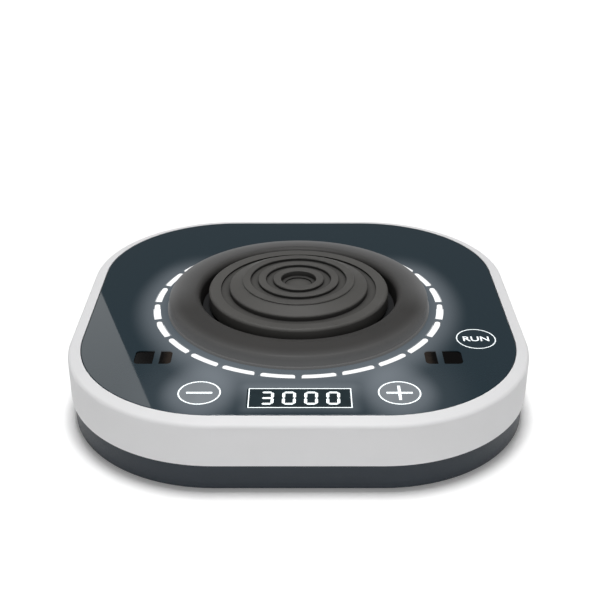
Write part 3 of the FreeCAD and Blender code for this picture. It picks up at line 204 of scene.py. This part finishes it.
touchKeys = {"lit": [(-29.45, -57.95), (30.08, -57.95)], "run": (57.58, -25.3), "radius": 6.42, "line": 0.43,
             "runLine": 0.36, "faceThick": 0.024, "steps": 96, "barLong": 7.8, "barThick": 0.85}
panelLook = {
    "colour": "#213038", "ior": 1.45, "glowColour": "#e2e9f2",
    "roughLow": 0.012, "roughHigh": 0.028, "smearMm": 18, "smearFrom": 0.35, "smearTo": 0.65,
    "speckMm": 0.9, "speck": 0.05,
    "squeeze": 0.5,  # the glow lies longer front to back than side to side
    # painted glow round the bars, the keys and the display
    "ring": {"glow": 0.13, "reach": 9.8 * mm, "fadeFrom": 22 * mm, "fadeTo": 42 * mm},
    "keys": {"glow": 0.125, "reach": 7.2 * mm, "tail": 0.032, "tailReach": 20.0 * mm},
    "display": {"middle": (0.5 * mm, -60.75 * mm, 0), "half": (15.35 * mm, 5.55 * mm, 0), "glow": 0.06,
                "reach": 4.0 * mm},
}


def glossPanel(look):
    # back-printed acrylic sheet: deep colour under a clear gloss
    # a painted glow round the bars, the keys and the display fades with distance
    material, tree, shader, place = newMaterial("backPrintedAcrylic")
    axes = addNode(tree, "ShaderNodeSeparateXYZ", Vector=place)
    flat = addNode(tree, "ShaderNodeCombineXYZ", X=axes.outputs[0], Y=axes.outputs[1])
    soft = {"interpolation_type": "SMOOTHSTEP"}

    def fromCircle(x, y, radius):  # distance from a circle on the panel in mm, squeezed front to back
        arm = addNode(tree, "ShaderNodeVectorMath", {"operation": "SUBTRACT"}, i0=flat,
                      i1=(x * mm, y * mm, 0))
        thin = addNode(tree, "ShaderNodeVectorMath", {"operation": "MULTIPLY"}, i0=arm,
                       i1=(1, look["squeeze"], 1))
        long, short = (addNode(tree, "ShaderNodeVectorMath", {"operation": "LENGTH"}, i0=way).outputs["Value"]
                       for way in (arm, thin))
        ratio = addNode(tree, "ShaderNodeMath", {"operation": "DIVIDE"}, i0=short, i1=long)
        off = addNode(tree, "ShaderNodeMath", {"operation": "SUBTRACT"}, i0=long, i1=radius * mm)
        away = addNode(tree, "ShaderNodeMath", {"operation": "ABSOLUTE"}, i0=off)
        return addNode(tree, "ShaderNodeMath", {"operation": "MULTIPLY"}, i0=away, i1=ratio)

    screen = look["display"]
    shifted = addNode(tree, "ShaderNodeVectorMath", {"operation": "SUBTRACT"}, i0=flat, i1=screen["middle"])
    folded = addNode(tree, "ShaderNodeVectorMath", {"operation": "ABSOLUTE"}, i0=shifted)
    past = addNode(tree, "ShaderNodeVectorMath", {"operation": "SUBTRACT"}, i0=folded, i1=screen["half"])
    clamped = addNode(tree, "ShaderNodeVectorMath", {"operation": "MAXIMUM"}, i0=past, i1=(0, 0, 0))
    edge = addNode(tree, "ShaderNodeVectorMath", {"operation": "LENGTH"}, i0=clamped).outputs["Value"]

    ring, keys = look["ring"], look["keys"]
    # the painted glow round the bars fades towards the back
    behind = addNode(tree, "ShaderNodeMapRange", soft, Value=axes.outputs[1], From_Min=ring["fadeFrom"],
                     From_Max=ring["fadeTo"], To_Min=ring["glow"], To_Max=0.0)
    glows = [(fromCircle(0, 0, lightBars["radius"]), ring["reach"], behind.outputs[0]),
             (edge, screen["reach"], screen["glow"])]
    for x, y in touchKeys["lit"]:
        rim = fromCircle(x, y, touchKeys["radius"])
        glows += [(rim, keys["reach"], keys["glow"]), (rim, keys["tailReach"], keys["tail"])]
    glow = 0.0
    for distance, reach, strength in glows:  # each fades with distance, and they add up
        fade = addNode(tree, "ShaderNodeMapRange", soft, Value=distance, From_Min=0.0, From_Max=reach,
                       To_Min=strength, To_Max=0.0)
        glow = addNode(tree, "ShaderNodeMath", {"operation": "ADD"}, i0=glow, i1=fade)
    smear = addNode(tree, "ShaderNodeTexNoise", Vector=place, Scale=1 / (look["smearMm"] * mm), Detail=3.0)
    gloss = addNode(tree, "ShaderNodeMapRange", Value=smear, From_Min=look["smearFrom"],
                    From_Max=look["smearTo"], To_Min=look["roughLow"], To_Max=look["roughHigh"])
    speck = addNode(tree, "ShaderNodeTexNoise", Vector=place, Scale=1 / (look["speckMm"] * mm), Detail=2.0)
    tint = mottled(tree, look["colour"], speck, 1 - look["speck"], 1 + look["speck"])
    setInputs(tree, shader, {"Base Color": tint, "Roughness": gloss, "IOR": look["ior"],
                             "Emission Color": linear(look["glowColour"]), "Emission Strength": glow})
    return material


lensIor = 1.58  # polycarbonate
displayLook = {"colour": "#1d2b31", "rough": 0.08, "specular": 0.4, "flowMm": 5, "dark": 0.8, "light": 1.2}
sensorLook = {"dark": "#070606", "warm": "#2b2521", "warmAt": 40.4 * mm, "darkAt": 43.2 * mm, "rough": 0.12,
              "specular": 0.06, "grainMm": 1.5, "ripple": 0.4 * mm}


def displayCover(look):
    # tinted polycarbonate: nearly black, glossy, faintly uneven where it was moulded
    material, tree, shader, place = newMaterial("displayPolycarbonate")
    flow = addNode(tree, "ShaderNodeTexNoise", Vector=place, Scale=1 / (look["flowMm"] * mm), Detail=2.0)
    tint = mottled(tree, look["colour"], flow, look["dark"], look["light"])
    setInputs(tree, shader, {"Base Color": tint, "Roughness": look["rough"], "IOR": lensIor,
                             "Specular IOR Level": look["specular"]})
    return material


def sensorWindow(look):
    # smoked polycarbonate over a sensor: black, turning warm brown on the inner side
    material, tree, shader, place = newMaterial("sensorPolycarbonate")
    axes = addNode(tree, "ShaderNodeSeparateXYZ", Vector=place)
    side = addNode(tree, "ShaderNodeMath", {"operation": "ABSOLUTE"}, i0=axes.outputs[0])
    grain = addNode(tree, "ShaderNodeTexNoise", Vector=place, Scale=1 / (look["grainMm"] * mm), Detail=2.0)
    ripple = addNode(tree, "ShaderNodeMapRange", Value=grain, **noiseSpan, To_Min=-look["ripple"],
                     To_Max=look["ripple"])
    moved = addNode(tree, "ShaderNodeMath", {"operation": "ADD"}, i0=side, i1=ripple)
    blend = addNode(tree, "ShaderNodeMapRange", {"interpolation_type": "SMOOTHSTEP"}, Value=moved,
                    From_Min=look["warmAt"], From_Max=look["darkAt"])
    colour = addNode(tree, "ShaderNodeMix", {"data_type": "RGBA"}, i0=blend, i6=linear(look["warm"]),
                     i7=linear(look["dark"]))
    setInputs(tree, shader, {"Base Color": colour.outputs[2], "Roughness": look["rough"], "IOR": lensIor,
                             "Specular IOR Level": look["specular"]})
    return material


whiteLight = litMark("lightBarDiffuser", "#ffffff", strength=1.0, body="#55595c")
whiteInk = litMark("litWhiteInk", "#f4fbfc", strength=0.9)
greyInk = litMark("litGreyInk", "#eef4f6", strength=0.6)
keyFace = litMark("litKeyFace", "#eef2f6", strength=0.24, body="#20303a", rough=0.12, cloudMm=6, spread=0.06)

finishes = [  # each material with the nodes that it goes on
    # plain white, with a broad soft highlight along the rim
    (mouldedPlastic("whiteAbsSatin", "#e0e0e1", rough=0.5, grainMm=0.7, depth=0.12, spread=0.02,
                    specular=0.35), ["housing_ring"]),
    # blue-grey and duller, so that the tray falls back under the white ring
    (mouldedPlastic("slateAbsTextured", "#242c34", rough=0.5, grainMm=0.6, depth=0.3, specular=0.3),
     ["base_tray"]),
    # near black and flat: the parts' own dark colour, pushed dark enough to stand in for the shade they lie
    # in, so partly painted shade
    (mouldedPlastic("blackAbsTextured", "#141517", rough=0.7, grainMm=0.6, depth=0.3, specular=0.25),
     ["top_deck", "dc_jack"]),
    # green lacquer on fibreglass, smooth and half glossy
    (mouldedPlastic("solderMask", "#1c5a38", rough=0.35, grainMm=2.0, depth=0.1),
     ["control_board", "driver_board"]),
    # dull black moulding with a faint grit
    (mouldedPlastic("chipEpoxy", "#1b1b1c", rough=0.5, grainMm=0.5, depth=0.2),
     ["board_chips", "board_header", "display_module", "sensor_blocks", "driver_parts"]),
    # flat dark strip with open pores
    (mouldedPlastic("tapeFoam", "#2a2a2b", rough=0.8, grainMm=0.5, depth=0.5), ["panel_tape"]),
    (glossPanel(panelLook), ["top_panel"]),
    # the collar gets painted glow beside the bars and painted side light
    (softRubber("collarSilicone", "#353433", rough=0.62, grainMm=0.35, light=collarPaintedGlow), ["rubber_collar"]),
    # the cup gets painted shade in its corners and grooves
    (softRubber("cupSilicone", "#4e4d4b", rough=0.6, grainMm=0.35, paintedShade=cupPaintedShade), ["mixing_cup"]),
    (softRubber("footRubber", "#2a2a2a", rough=0.75, grainMm=0.4), ["rubber_feet"]),
    (softRubber("bushRubber", "#333334", rough=0.7, grainMm=0.4), ["rubber_mounts", "guide_bushes"]),
    # red sleeve, a little shinier than the mouldings
    (softRubber("wireSkin", "#8c1f1c", rough=0.5, grainMm=0.5), ["motor_leads"]),
    # conductive foam, quite flat
    (softRubber("keyFoam", "#3a3a3c", rough=0.85, grainMm=0.6), ["touch_pads"]),
    # bright, with fine grinding lines round the parts
    (bareMetal("groundSteel", "#b9babc", rough=0.3, stretch=(1, 1, 14)),
     ["chassis_plate", "deck_posts", "guide_pins", "motor_bearing_outers", "motor_bearing_inners",
      "motor_bearing_balls", "motor_shaft", "shaft_clip", "eccentric_hub", "head_bearing_inner",
      "head_bearing_outer", "head_bearing_balls", "pin_clip", "bearing_circlip"]),
    # plated, so greyer and cloudy, with no lines
    (bareMetal("zincPlatedSteel", "#9da0a2", rough=0.38, stretch=(3, 3, 3)),
     ["board_screws", "base_screws", "mount_screws", "deck_screws", "motor_screws", "driver_screws",
      "hub_set_screw"]),
    # sheet edges and drawn sides, darker than ground steel
    (bareMetal("pressedSteel", "#8f9194", rough=0.42, stretch=(1, 1, 8)), ["stator_core", "rotor_bell"]),
    # blasted with beads, so pale and matt: half of its light is scattered
    (bareMetal("blastedAluminium", "#c9cbcd", rough=0.5, stretch=(2, 2, 2), metal=0.5),
     ["motor_base", "cup_carrier"]),
    # warm brown under lacquer, in lines as the wire lies
    (bareMetal("enamelledCopper", "#b5703f", rough=0.36, stretch=(1, 1, 20)), ["stator_windings"]),
    # yellow, with turning lines
    (bareMetal("turnedBrass", "#b79a5b", rough=0.3, stretch=(1, 1, 12)), ["counterweight", "dc_jack_pin"]),
    # pressed powder, dark and gritty
    (bareMetal("sinteredMagnet", "#4c4d50", rough=0.6, stretch=(2, 2, 2)), ["rotor_magnet"]),
    (displayCover(displayLook), ["display_window"]),
    (sensorWindow(sensorLook), ["sensor_lens_left", "sensor_lens_right"]),
    (whiteLight, ["ring_leds"]),
]
for material, names in finishes:
    for name in names:
        mesh = nodes[name].data
        mesh.materials.clear()
        mesh.materials.append(material)
print("materials on", sum(len(names) for material, names in finishes), "nodes")


collection = bpy.context.scene.collection
cameraSet = {"place": (0.5 * mm, -324.6 * mm, panelTop + 168.35 * mm), "pitch": 62.75, "lens": 63.456,
             "sensor": 36, "clip": 0.01}
cameraData = bpy.data.cameras.new("camera")
cameraData.sensor_width = cameraSet["sensor"]
cameraData.lens = cameraSet["lens"]
cameraData.clip_start = cameraSet["clip"]
camera = bpy.data.objects.new("camera", cameraData)
camera.location = cameraSet["place"]
camera.rotation_euler = (math.radians(cameraSet["pitch"]), 0, 0)
collection.objects.link(camera)
bpy.context.scene.camera = camera


studio = {
    "world": 0.14, "white": "#ffffff",
    "floor": {"colour": "#fcfcfc", "rough": 0.9, "specular": 0.1, "flat": 4.0, "edge": 6.0, "rise": 1.0},
    "lift": {"near": 0.1, "far": 0.9, "from": 0.2, "to": 1.2},  # white again where the lamps fall off
    "top": {"place": (0.0, 0.02, 1.3), "size": (0.32, 0.32), "watts": 13.4},
    "front": {"place": (0.0, -1.6, 0.7), "size": (1.6, 0.8), "watts": 7.3},
    "card": {"size": (0.3, 0.6), "watts": 0.66, "height": 0.6, "edgeNear": (-0.197, 0.856),
             "edgeFar": (-0.317, 1.187)},  # the panel's left corner mirrors the edge through these two points
}


def paperSweep(look, lift):
    # matt paper that curves up at its sides: no gloss, and white to the eye all the way out
    material, tree, shader, place = newMaterial("paleFloor")
    rays = addNode(tree, "ShaderNodeLightPath").outputs
    seen = addNode(tree, "ShaderNodeMath", {"operation": "MAXIMUM"}, i0=rays["Is Camera Ray"],
                   i1=rays["Is Glossy Ray"])
    seen = addNode(tree, "ShaderNodeMath", {"operation": "MAXIMUM"}, i0=seen, i1=rays["Is Transmission Ray"])
    away = addNode(tree, "ShaderNodeVectorMath", {"operation": "LENGTH"}, i0=place).outputs["Value"]
    level = addNode(tree, "ShaderNodeMapRange", Value=away, From_Min=lift["from"], From_Max=lift["to"],
                    To_Min=lift["near"], To_Max=lift["far"])
    glow = addNode(tree, "ShaderNodeMath", {"operation": "MULTIPLY"}, i0=seen, i1=level)
    setInputs(tree, shader, {"Base Color": linear(look["colour"]), "Roughness": look["rough"],
                             "Specular IOR Level": look["specular"],
                             "Emission Color": linear(studio["white"]), "Emission Strength": glow})
    return material


floorLook = studio["floor"]
floorSteps = ((floorLook["flat"], 0), (floorLook["edge"], floorLook["rise"]))  # how far out, how high
floorCorners = [(x * far, y * far, rise) for far, rise in floorSteps
                for x, y in ((-1, -1), (1, -1), (1, 1), (-1, 1))]
floorSides = [(4 + i, 4 + (i + 1) % 4, (i + 1) % 4, i) for i in range(4)]
floorMesh = bpy.data.meshes.new("floor")
floorMesh.from_pydata(floorCorners, [], [(0, 1, 2, 3)] + floorSides)
floorMesh.materials.append(paperSweep(floorLook, studio["lift"]))
floor = bpy.data.objects.new("floor", floorMesh)
collection.objects.link(floor)

world = bpy.data.worlds.new("studio")
world.use_nodes = True
world.node_tree.nodes.clear()
sky = addNode(world.node_tree, "ShaderNodeBackground", Color=linear(studio["white"]),
              Strength=studio["world"])
addNode(world.node_tree, "ShaderNodeOutputWorld", Surface=sky)
bpy.context.scene.world = world


def softbox(name, place, turn, look):
    lamp = bpy.data.lights.new(name, "AREA")
    lamp.shape = "RECTANGLE"
    lamp.size, lamp.size_y = look["size"]
    lamp.energy = look["watts"]
    holder = bpy.data.objects.new(name, lamp)
    holder.location = place
    holder.rotation_euler = turn
    collection.objects.link(holder)


for name in ("top", "front"):  # both face the middle of the floor
    lampPlace = Vector(studio[name]["place"])
    softbox(name + "Light", lampPlace, (-lampPlace).to_track_quat("-Z", "Y").to_euler(), studio[name])
cardLook = studio["card"]
edgeNear, edgeFar = (Vector((x, y, panelTop + cardLook["height"]))
                     for x, y in (cardLook["edgeNear"], cardLook["edgeFar"]))
along = (edgeFar - edgeNear).normalized()
across = Vector((-along.y, along.x, 0))
cardMiddle = (edgeNear + edgeFar) / 2 + across * cardLook["size"][0] / 2
softbox("sideCard", cardMiddle, (0, 0, math.atan2(along.y, along.x) - math.pi / 2), cardLook)
print("camera, floor and light set")


markSet = {"lift": 0.03 * mm, "thick": 0.03 * mm}
markMiddle = panelTop + markSet["lift"] + markSet["thick"] / 2


def newPiece(name, mesh):  # every mark is fixed to the housing and lit from inside it
    piece = bpy.data.objects.new(name, mesh)
    collection.objects.link(piece)
    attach(piece, "housing")
    return piece


def flatPiece(name, outlines, material):  # closed thin plates from outlines in mm on the panel face
    build = bmesh.new()
    low = panelTop + markSet["lift"]
    for outline in outlines:
        face = build.faces.new([build.verts.new((x * mm, y * mm, low)) for x, y in outline])
        grown = bmesh.ops.extrude_face_region(build, geom=[face])
        raised = [item for item in grown["geom"] if isinstance(item, bmesh.types.BMVert)]
        bmesh.ops.translate(build, verts=raised, vec=(0, 0, markSet["thick"]))
    bmesh.ops.recalc_face_normals(build, faces=build.faces)
    mesh = bpy.data.meshes.new(name)
    build.to_mesh(mesh)
    build.free()
    mesh.materials.append(material)
    newPiece(name, mesh)


digits = {"text": "3000", "middle": (0.52, -60.88), "high": 7.0, "wide": 4.05, "pitch": 6.52, "stroke": 0.85,
          "gap": 0.12, "slant": 0.02}
litSegments = {"0": "abcdef", "3": "abcdg"}


def segmentOutlines(look):  # pointed bars, lettered clockwise from the top, with g in the middle
    outlines = []
    middleX, middleY = look["middle"]
    halfWide = (look["wide"] - look["stroke"]) / 2
    halfHigh = (look["high"] - look["stroke"]) / 2
    thin = look["stroke"] / 2
    centres = {
        "a": (0, halfHigh, True), "g": (0, 0, True), "d": (0, -halfHigh, True),
        "f": (-halfWide, halfHigh / 2, False), "b": (halfWide, halfHigh / 2, False),
        "e": (-halfWide, -halfHigh / 2, False), "c": (halfWide, -halfHigh / 2, False),
    }
    for place, digit in enumerate(look["text"]):
        shift = (place - (len(look["text"]) - 1) / 2) * look["pitch"]
        for segment in litSegments[digit]:
            x, y, level = centres[segment]
            half = (halfWide if level else halfHigh / 2) - look["gap"]
            bar = [(-half, 0), (-half + thin, -thin), (half - thin, -thin), (half, 0), (half - thin, thin),
                   (-half + thin, thin)]
            bar = bar if level else [(-v, u) for u, v in bar]
            outlines.append([(middleX + shift + x + u + look["slant"] * (y + v), middleY + y + v)
                             for u, v in bar])
    return outlines


flatPiece("displayDigits", segmentOutlines(digits), whiteInk)

displayFrame = {"middle": (0.5, -60.8), "halfX": 15.29, "halfY": 5.31, "line": 0.3}


def frameOutlines(look):  # four strips that meet at the corners
    x, y = look["middle"]
    outX, outY = look["halfX"], look["halfY"]
    inX, inY = outX - look["line"], outY - look["line"]
    corners = [(-1, -1), (1, -1), (1, 1), (-1, 1)]
    return [[(x + a * outX, y + b * outY), (x + c * outX, y + d * outY), (x + c * inX, y + d * inY),
             (x + a * inX, y + b * inY)] for (a, b), (c, d) in zip(corners, corners[1:] + corners[:1])]


flatPiece("displayFrame", frameOutlines(displayFrame), whiteInk)


def grow(name, points, shape, sizes, material):  # sets shape's node tree on the points, keeps a plain mesh
    tree = bpy.data.node_groups.new(name, "GeometryNodeTree")
    tree.interface.new_socket("Geometry", in_out="INPUT", socket_type="NodeSocketGeometry")
    sockets = {size: tree.interface.new_socket(
        size, in_out="INPUT", socket_type="NodeSocketInt" if isinstance(given, int) else "NodeSocketFloat")
        for size, given in sizes.items()}
    tree.interface.new_socket("Geometry", in_out="OUTPUT", socket_type="NodeSocketGeometry")
    given = addNode(tree, "NodeGroupInput").outputs
    placed = addNode(tree, "GeometryNodeInstanceOnPoints", Points=given["Geometry"],
                     Instance=shape(tree, given))
    # the export keeps no instances
    real = addNode(tree, "GeometryNodeRealizeInstances", Geometry=placed)  # the instances are made into plain mesh
    painted = addNode(tree, "GeometryNodeSetMaterial", Geometry=real, Material=material)
    addNode(tree, "NodeGroupOutput", Geometry=painted)

    seed = bpy.data.meshes.new(name + "Points")
    seed.from_pydata(points, [], [])
    holder = bpy.data.objects.new(name + "Source", seed)
    collection.objects.link(holder)
    modifier = holder.modifiers.new("grow", "NODES")
    modifier.node_group = tree
    for size, socket in sockets.items():
        modifier[socket.identifier] = sizes[size]
    bpy.context.view_layer.update()
    mesh = bpy.data.meshes.new_from_object(holder.evaluated_get(bpy.context.evaluated_depsgraph_get()))
    mesh.name = name
    holder.modifiers.clear()
    bpy.data.objects.remove(holder)
    spans = [max(v.co[i] for v in mesh.vertices) - min(v.co[i] for v in mesh.vertices) for i in range(3)]
    print(name, "spans", [round(span / mm, 3) for span in spans], "mm,", len(mesh.polygons), "faces")
    return newPiece(name, mesh)


def barShape(tree, given):  # round-ended bars on a circle, standing on a ring
    half = addNode(tree, "ShaderNodeMath", {"operation": "MULTIPLY"}, i0=given["Sweep"], i1=-0.5)
    arc = addNode(tree, "GeometryNodeCurveArc", {"mode": "RADIUS"}, Resolution=lightBars["arcSteps"],
                  Radius=given["Radius"], Start_Angle=half, Sweep_Angle=given["Sweep"])
    section = addNode(tree, "GeometryNodeCurvePrimitiveQuadrilateral", Width=given["Wide"],
                      Height=given["Tall"])
    bar = addNode(tree, "GeometryNodeCurveToMesh", Curve=arc, Profile_Curve=section, Fill_Caps=True)
    tipRadius = addNode(tree, "ShaderNodeMath", {"operation": "MULTIPLY"}, i0=given["Wide"], i1=0.5)
    tip = addNode(tree, "GeometryNodeMeshCylinder", Vertices=lightBars["tipSteps"], Radius=tipRadius,
                  Depth=given["Tall"])
    ends = addNode(tree, "GeometryNodeCurveEndpointSelection")
    tips = addNode(tree, "GeometryNodeInstanceOnPoints", Points=arc, Selection=ends, Instance=tip)
    one = addNode(tree, "GeometryNodeJoinGeometry", Geometry=bar)
    setInputs(tree, one, {"Geometry": tips})
    seats = addNode(tree, "GeometryNodePoints", Count=given["Bars"])
    index = addNode(tree, "GeometryNodeInputIndex")
    middle = addNode(tree, "ShaderNodeMath", {"operation": "ADD"}, i0=index, i1=0.5)  # a gap at the front
    pitch = addNode(tree, "ShaderNodeMath", {"operation": "DIVIDE"}, i0=math.tau, i1=given["Bars"])
    angle = addNode(tree, "ShaderNodeMath", {"operation": "MULTIPLY"}, i0=middle, i1=pitch)
    turn = addNode(tree, "ShaderNodeCombineXYZ", Z=angle)
    bars = addNode(tree, "GeometryNodeInstanceOnPoints", Points=seats, Instance=one, Rotation=turn)
    loop = addNode(tree, "GeometryNodeCurvePrimitiveCircle", Radius=given["Radius"],
                   Resolution=lightBars["ringSteps"])
    band = addNode(tree, "GeometryNodeCurvePrimitiveQuadrilateral", Width=given["Ring Wide"],
                   Height=given["Ring Tall"])
    ring = addNode(tree, "GeometryNodeCurveToMesh", Curve=loop, Profile_Curve=band)
    lower = addNode(tree, "ShaderNodeMath", {"operation": "ADD"}, i0=given["Tall"], i1=given["Ring Tall"])
    drop = addNode(tree, "ShaderNodeMath", {"operation": "MULTIPLY"}, i0=lower, i1=-0.5)
    below = addNode(tree, "ShaderNodeCombineXYZ", Z=drop)
    sunk = addNode(tree, "GeometryNodeTransform", Geometry=ring, Translation=below)
    both = addNode(tree, "GeometryNodeJoinGeometry", Geometry=bars)
    setInputs(tree, both, {"Geometry": sunk})
    return both


def discShape(tree, given):  # the lit face of a key
    return addNode(tree, "GeometryNodeMeshCylinder", Vertices=touchKeys["steps"], Radius=given["Radius"],
                   Depth=given["Thick"])


def ringShape(tree, given):  # a flat line round a key
    loop = addNode(tree, "GeometryNodeCurvePrimitiveCircle", Radius=given["Radius"],
                   Resolution=touchKeys["steps"])
    section = addNode(tree, "GeometryNodeCurvePrimitiveQuadrilateral", Width=given["Line"],
                      Height=given["Thick"])
    return addNode(tree, "GeometryNodeCurveToMesh", Curve=loop, Profile_Curve=section)


barMiddle = panelTop - (lightBars["drop"] + lightBars["tall"] / 2) * mm
barPiece = grow("lightBars", [(0, 0, barMiddle)], barShape, {
    "Bars": lightBars["bars"], "Radius": lightBars["radius"] * mm, "Wide": lightBars["wide"] * mm,
    "Sweep": math.radians(lightBars["sweep"]), "Tall": lightBars["tall"] * mm,
    "Ring Wide": lightBars["ringWide"] * mm, "Ring Tall": lightBars["ringTall"] * mm}, whiteLight)
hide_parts("light_guide")

facePlaces = [(x * mm, y * mm, panelTop + markSet["lift"] / 2) for x, y in touchKeys["lit"]]
grow("keyFaces", facePlaces, discShape,
     {"Radius": (touchKeys["radius"] - touchKeys["line"] / 2) * mm, "Thick": touchKeys["faceThick"] * mm},
     keyFace)
for name, places, line, ink in (("keyRings", touchKeys["lit"], touchKeys["line"], whiteInk),
                                ("runRing", [touchKeys["run"]], touchKeys["runLine"], greyInk)):
    grow(name, [(x * mm, y * mm, markMiddle) for x, y in places], ringShape,
         {"Radius": (touchKeys["radius"] - line / 2) * mm, "Line": line * mm, "Thick": markSet["thick"]}, ink)


def barOutline(x, y, long, thick):
    half, thin = long / 2, thick / 2
    return [(x - half, y - thin), (x + half, y - thin), (x + half, y + thin), (x - half, y + thin)]


def plusOutline(x, y, long, thick):  # one arm's corners, turned four times
    corners = []
    arm = [(long / 2, -thick / 2), (long / 2, thick / 2), (thick / 2, thick / 2)]
    for turn in range(4):
        corners += [(x + u, y + v) for u, v in arm]
        arm = [(-v, u) for u, v in arm]
    return corners


minusPlace, plusPlace = touchKeys["lit"]
signSize = (touchKeys["barLong"], touchKeys["barThick"])
flatPiece("keySigns", [barOutline(*minusPlace, *signSize), plusOutline(*plusPlace, *signSize)], whiteInk)

runWord = {"text": "RUN", "wide": 8.4, "high": 3.05, "bold": 0.012, "deep": 0.01, "merge": 0.006}


def wordMesh(name, look, middle):  # letters as thin plates, scaled to their size in mm
    curve = bpy.data.curves.new(name, "FONT")
    curve.body = look["text"]
    curve.align_x = "CENTER"
    curve.align_y = "CENTER"
    curve.offset = look["bold"]
    curve.extrude = look["deep"]
    holder = bpy.data.objects.new(name + "Source", curve)
    collection.objects.link(holder)
    bpy.context.view_layer.update()
    mesh = bpy.data.meshes.new_from_object(holder.evaluated_get(bpy.context.evaluated_depsgraph_get()))
    bpy.data.objects.remove(holder)
    low, high = (Vector([pick(v.co[i] for v in mesh.vertices) for i in range(3)]) for pick in (min, max))
    span = high - low
    fit = Matrix.Diagonal((look["wide"] * mm / span.x, look["high"] * mm / span.y,
                           markSet["thick"] / span.z, 1))
    mesh.transform(Matrix.Translation(middle) @ fit @ Matrix.Translation(-(low + high) / 2))
    build = bmesh.new()
    build.from_mesh(mesh)
    bmesh.ops.remove_doubles(build, verts=build.verts, dist=look["merge"] * mm)  # closes the letters' edges
    bmesh.ops.recalc_face_normals(build, faces=build.faces)
    build.to_mesh(mesh)
    build.free()
    mesh.materials.clear()
    mesh.materials.append(greyInk)
    return mesh


runX, runY = touchKeys["run"]
newPiece("runWord", wordMesh("runWord", runWord, (runX * mm, runY * mm, markMiddle)))
print("panel marks placed")

bpy.context.scene.view_settings.view_transform = "Standard"
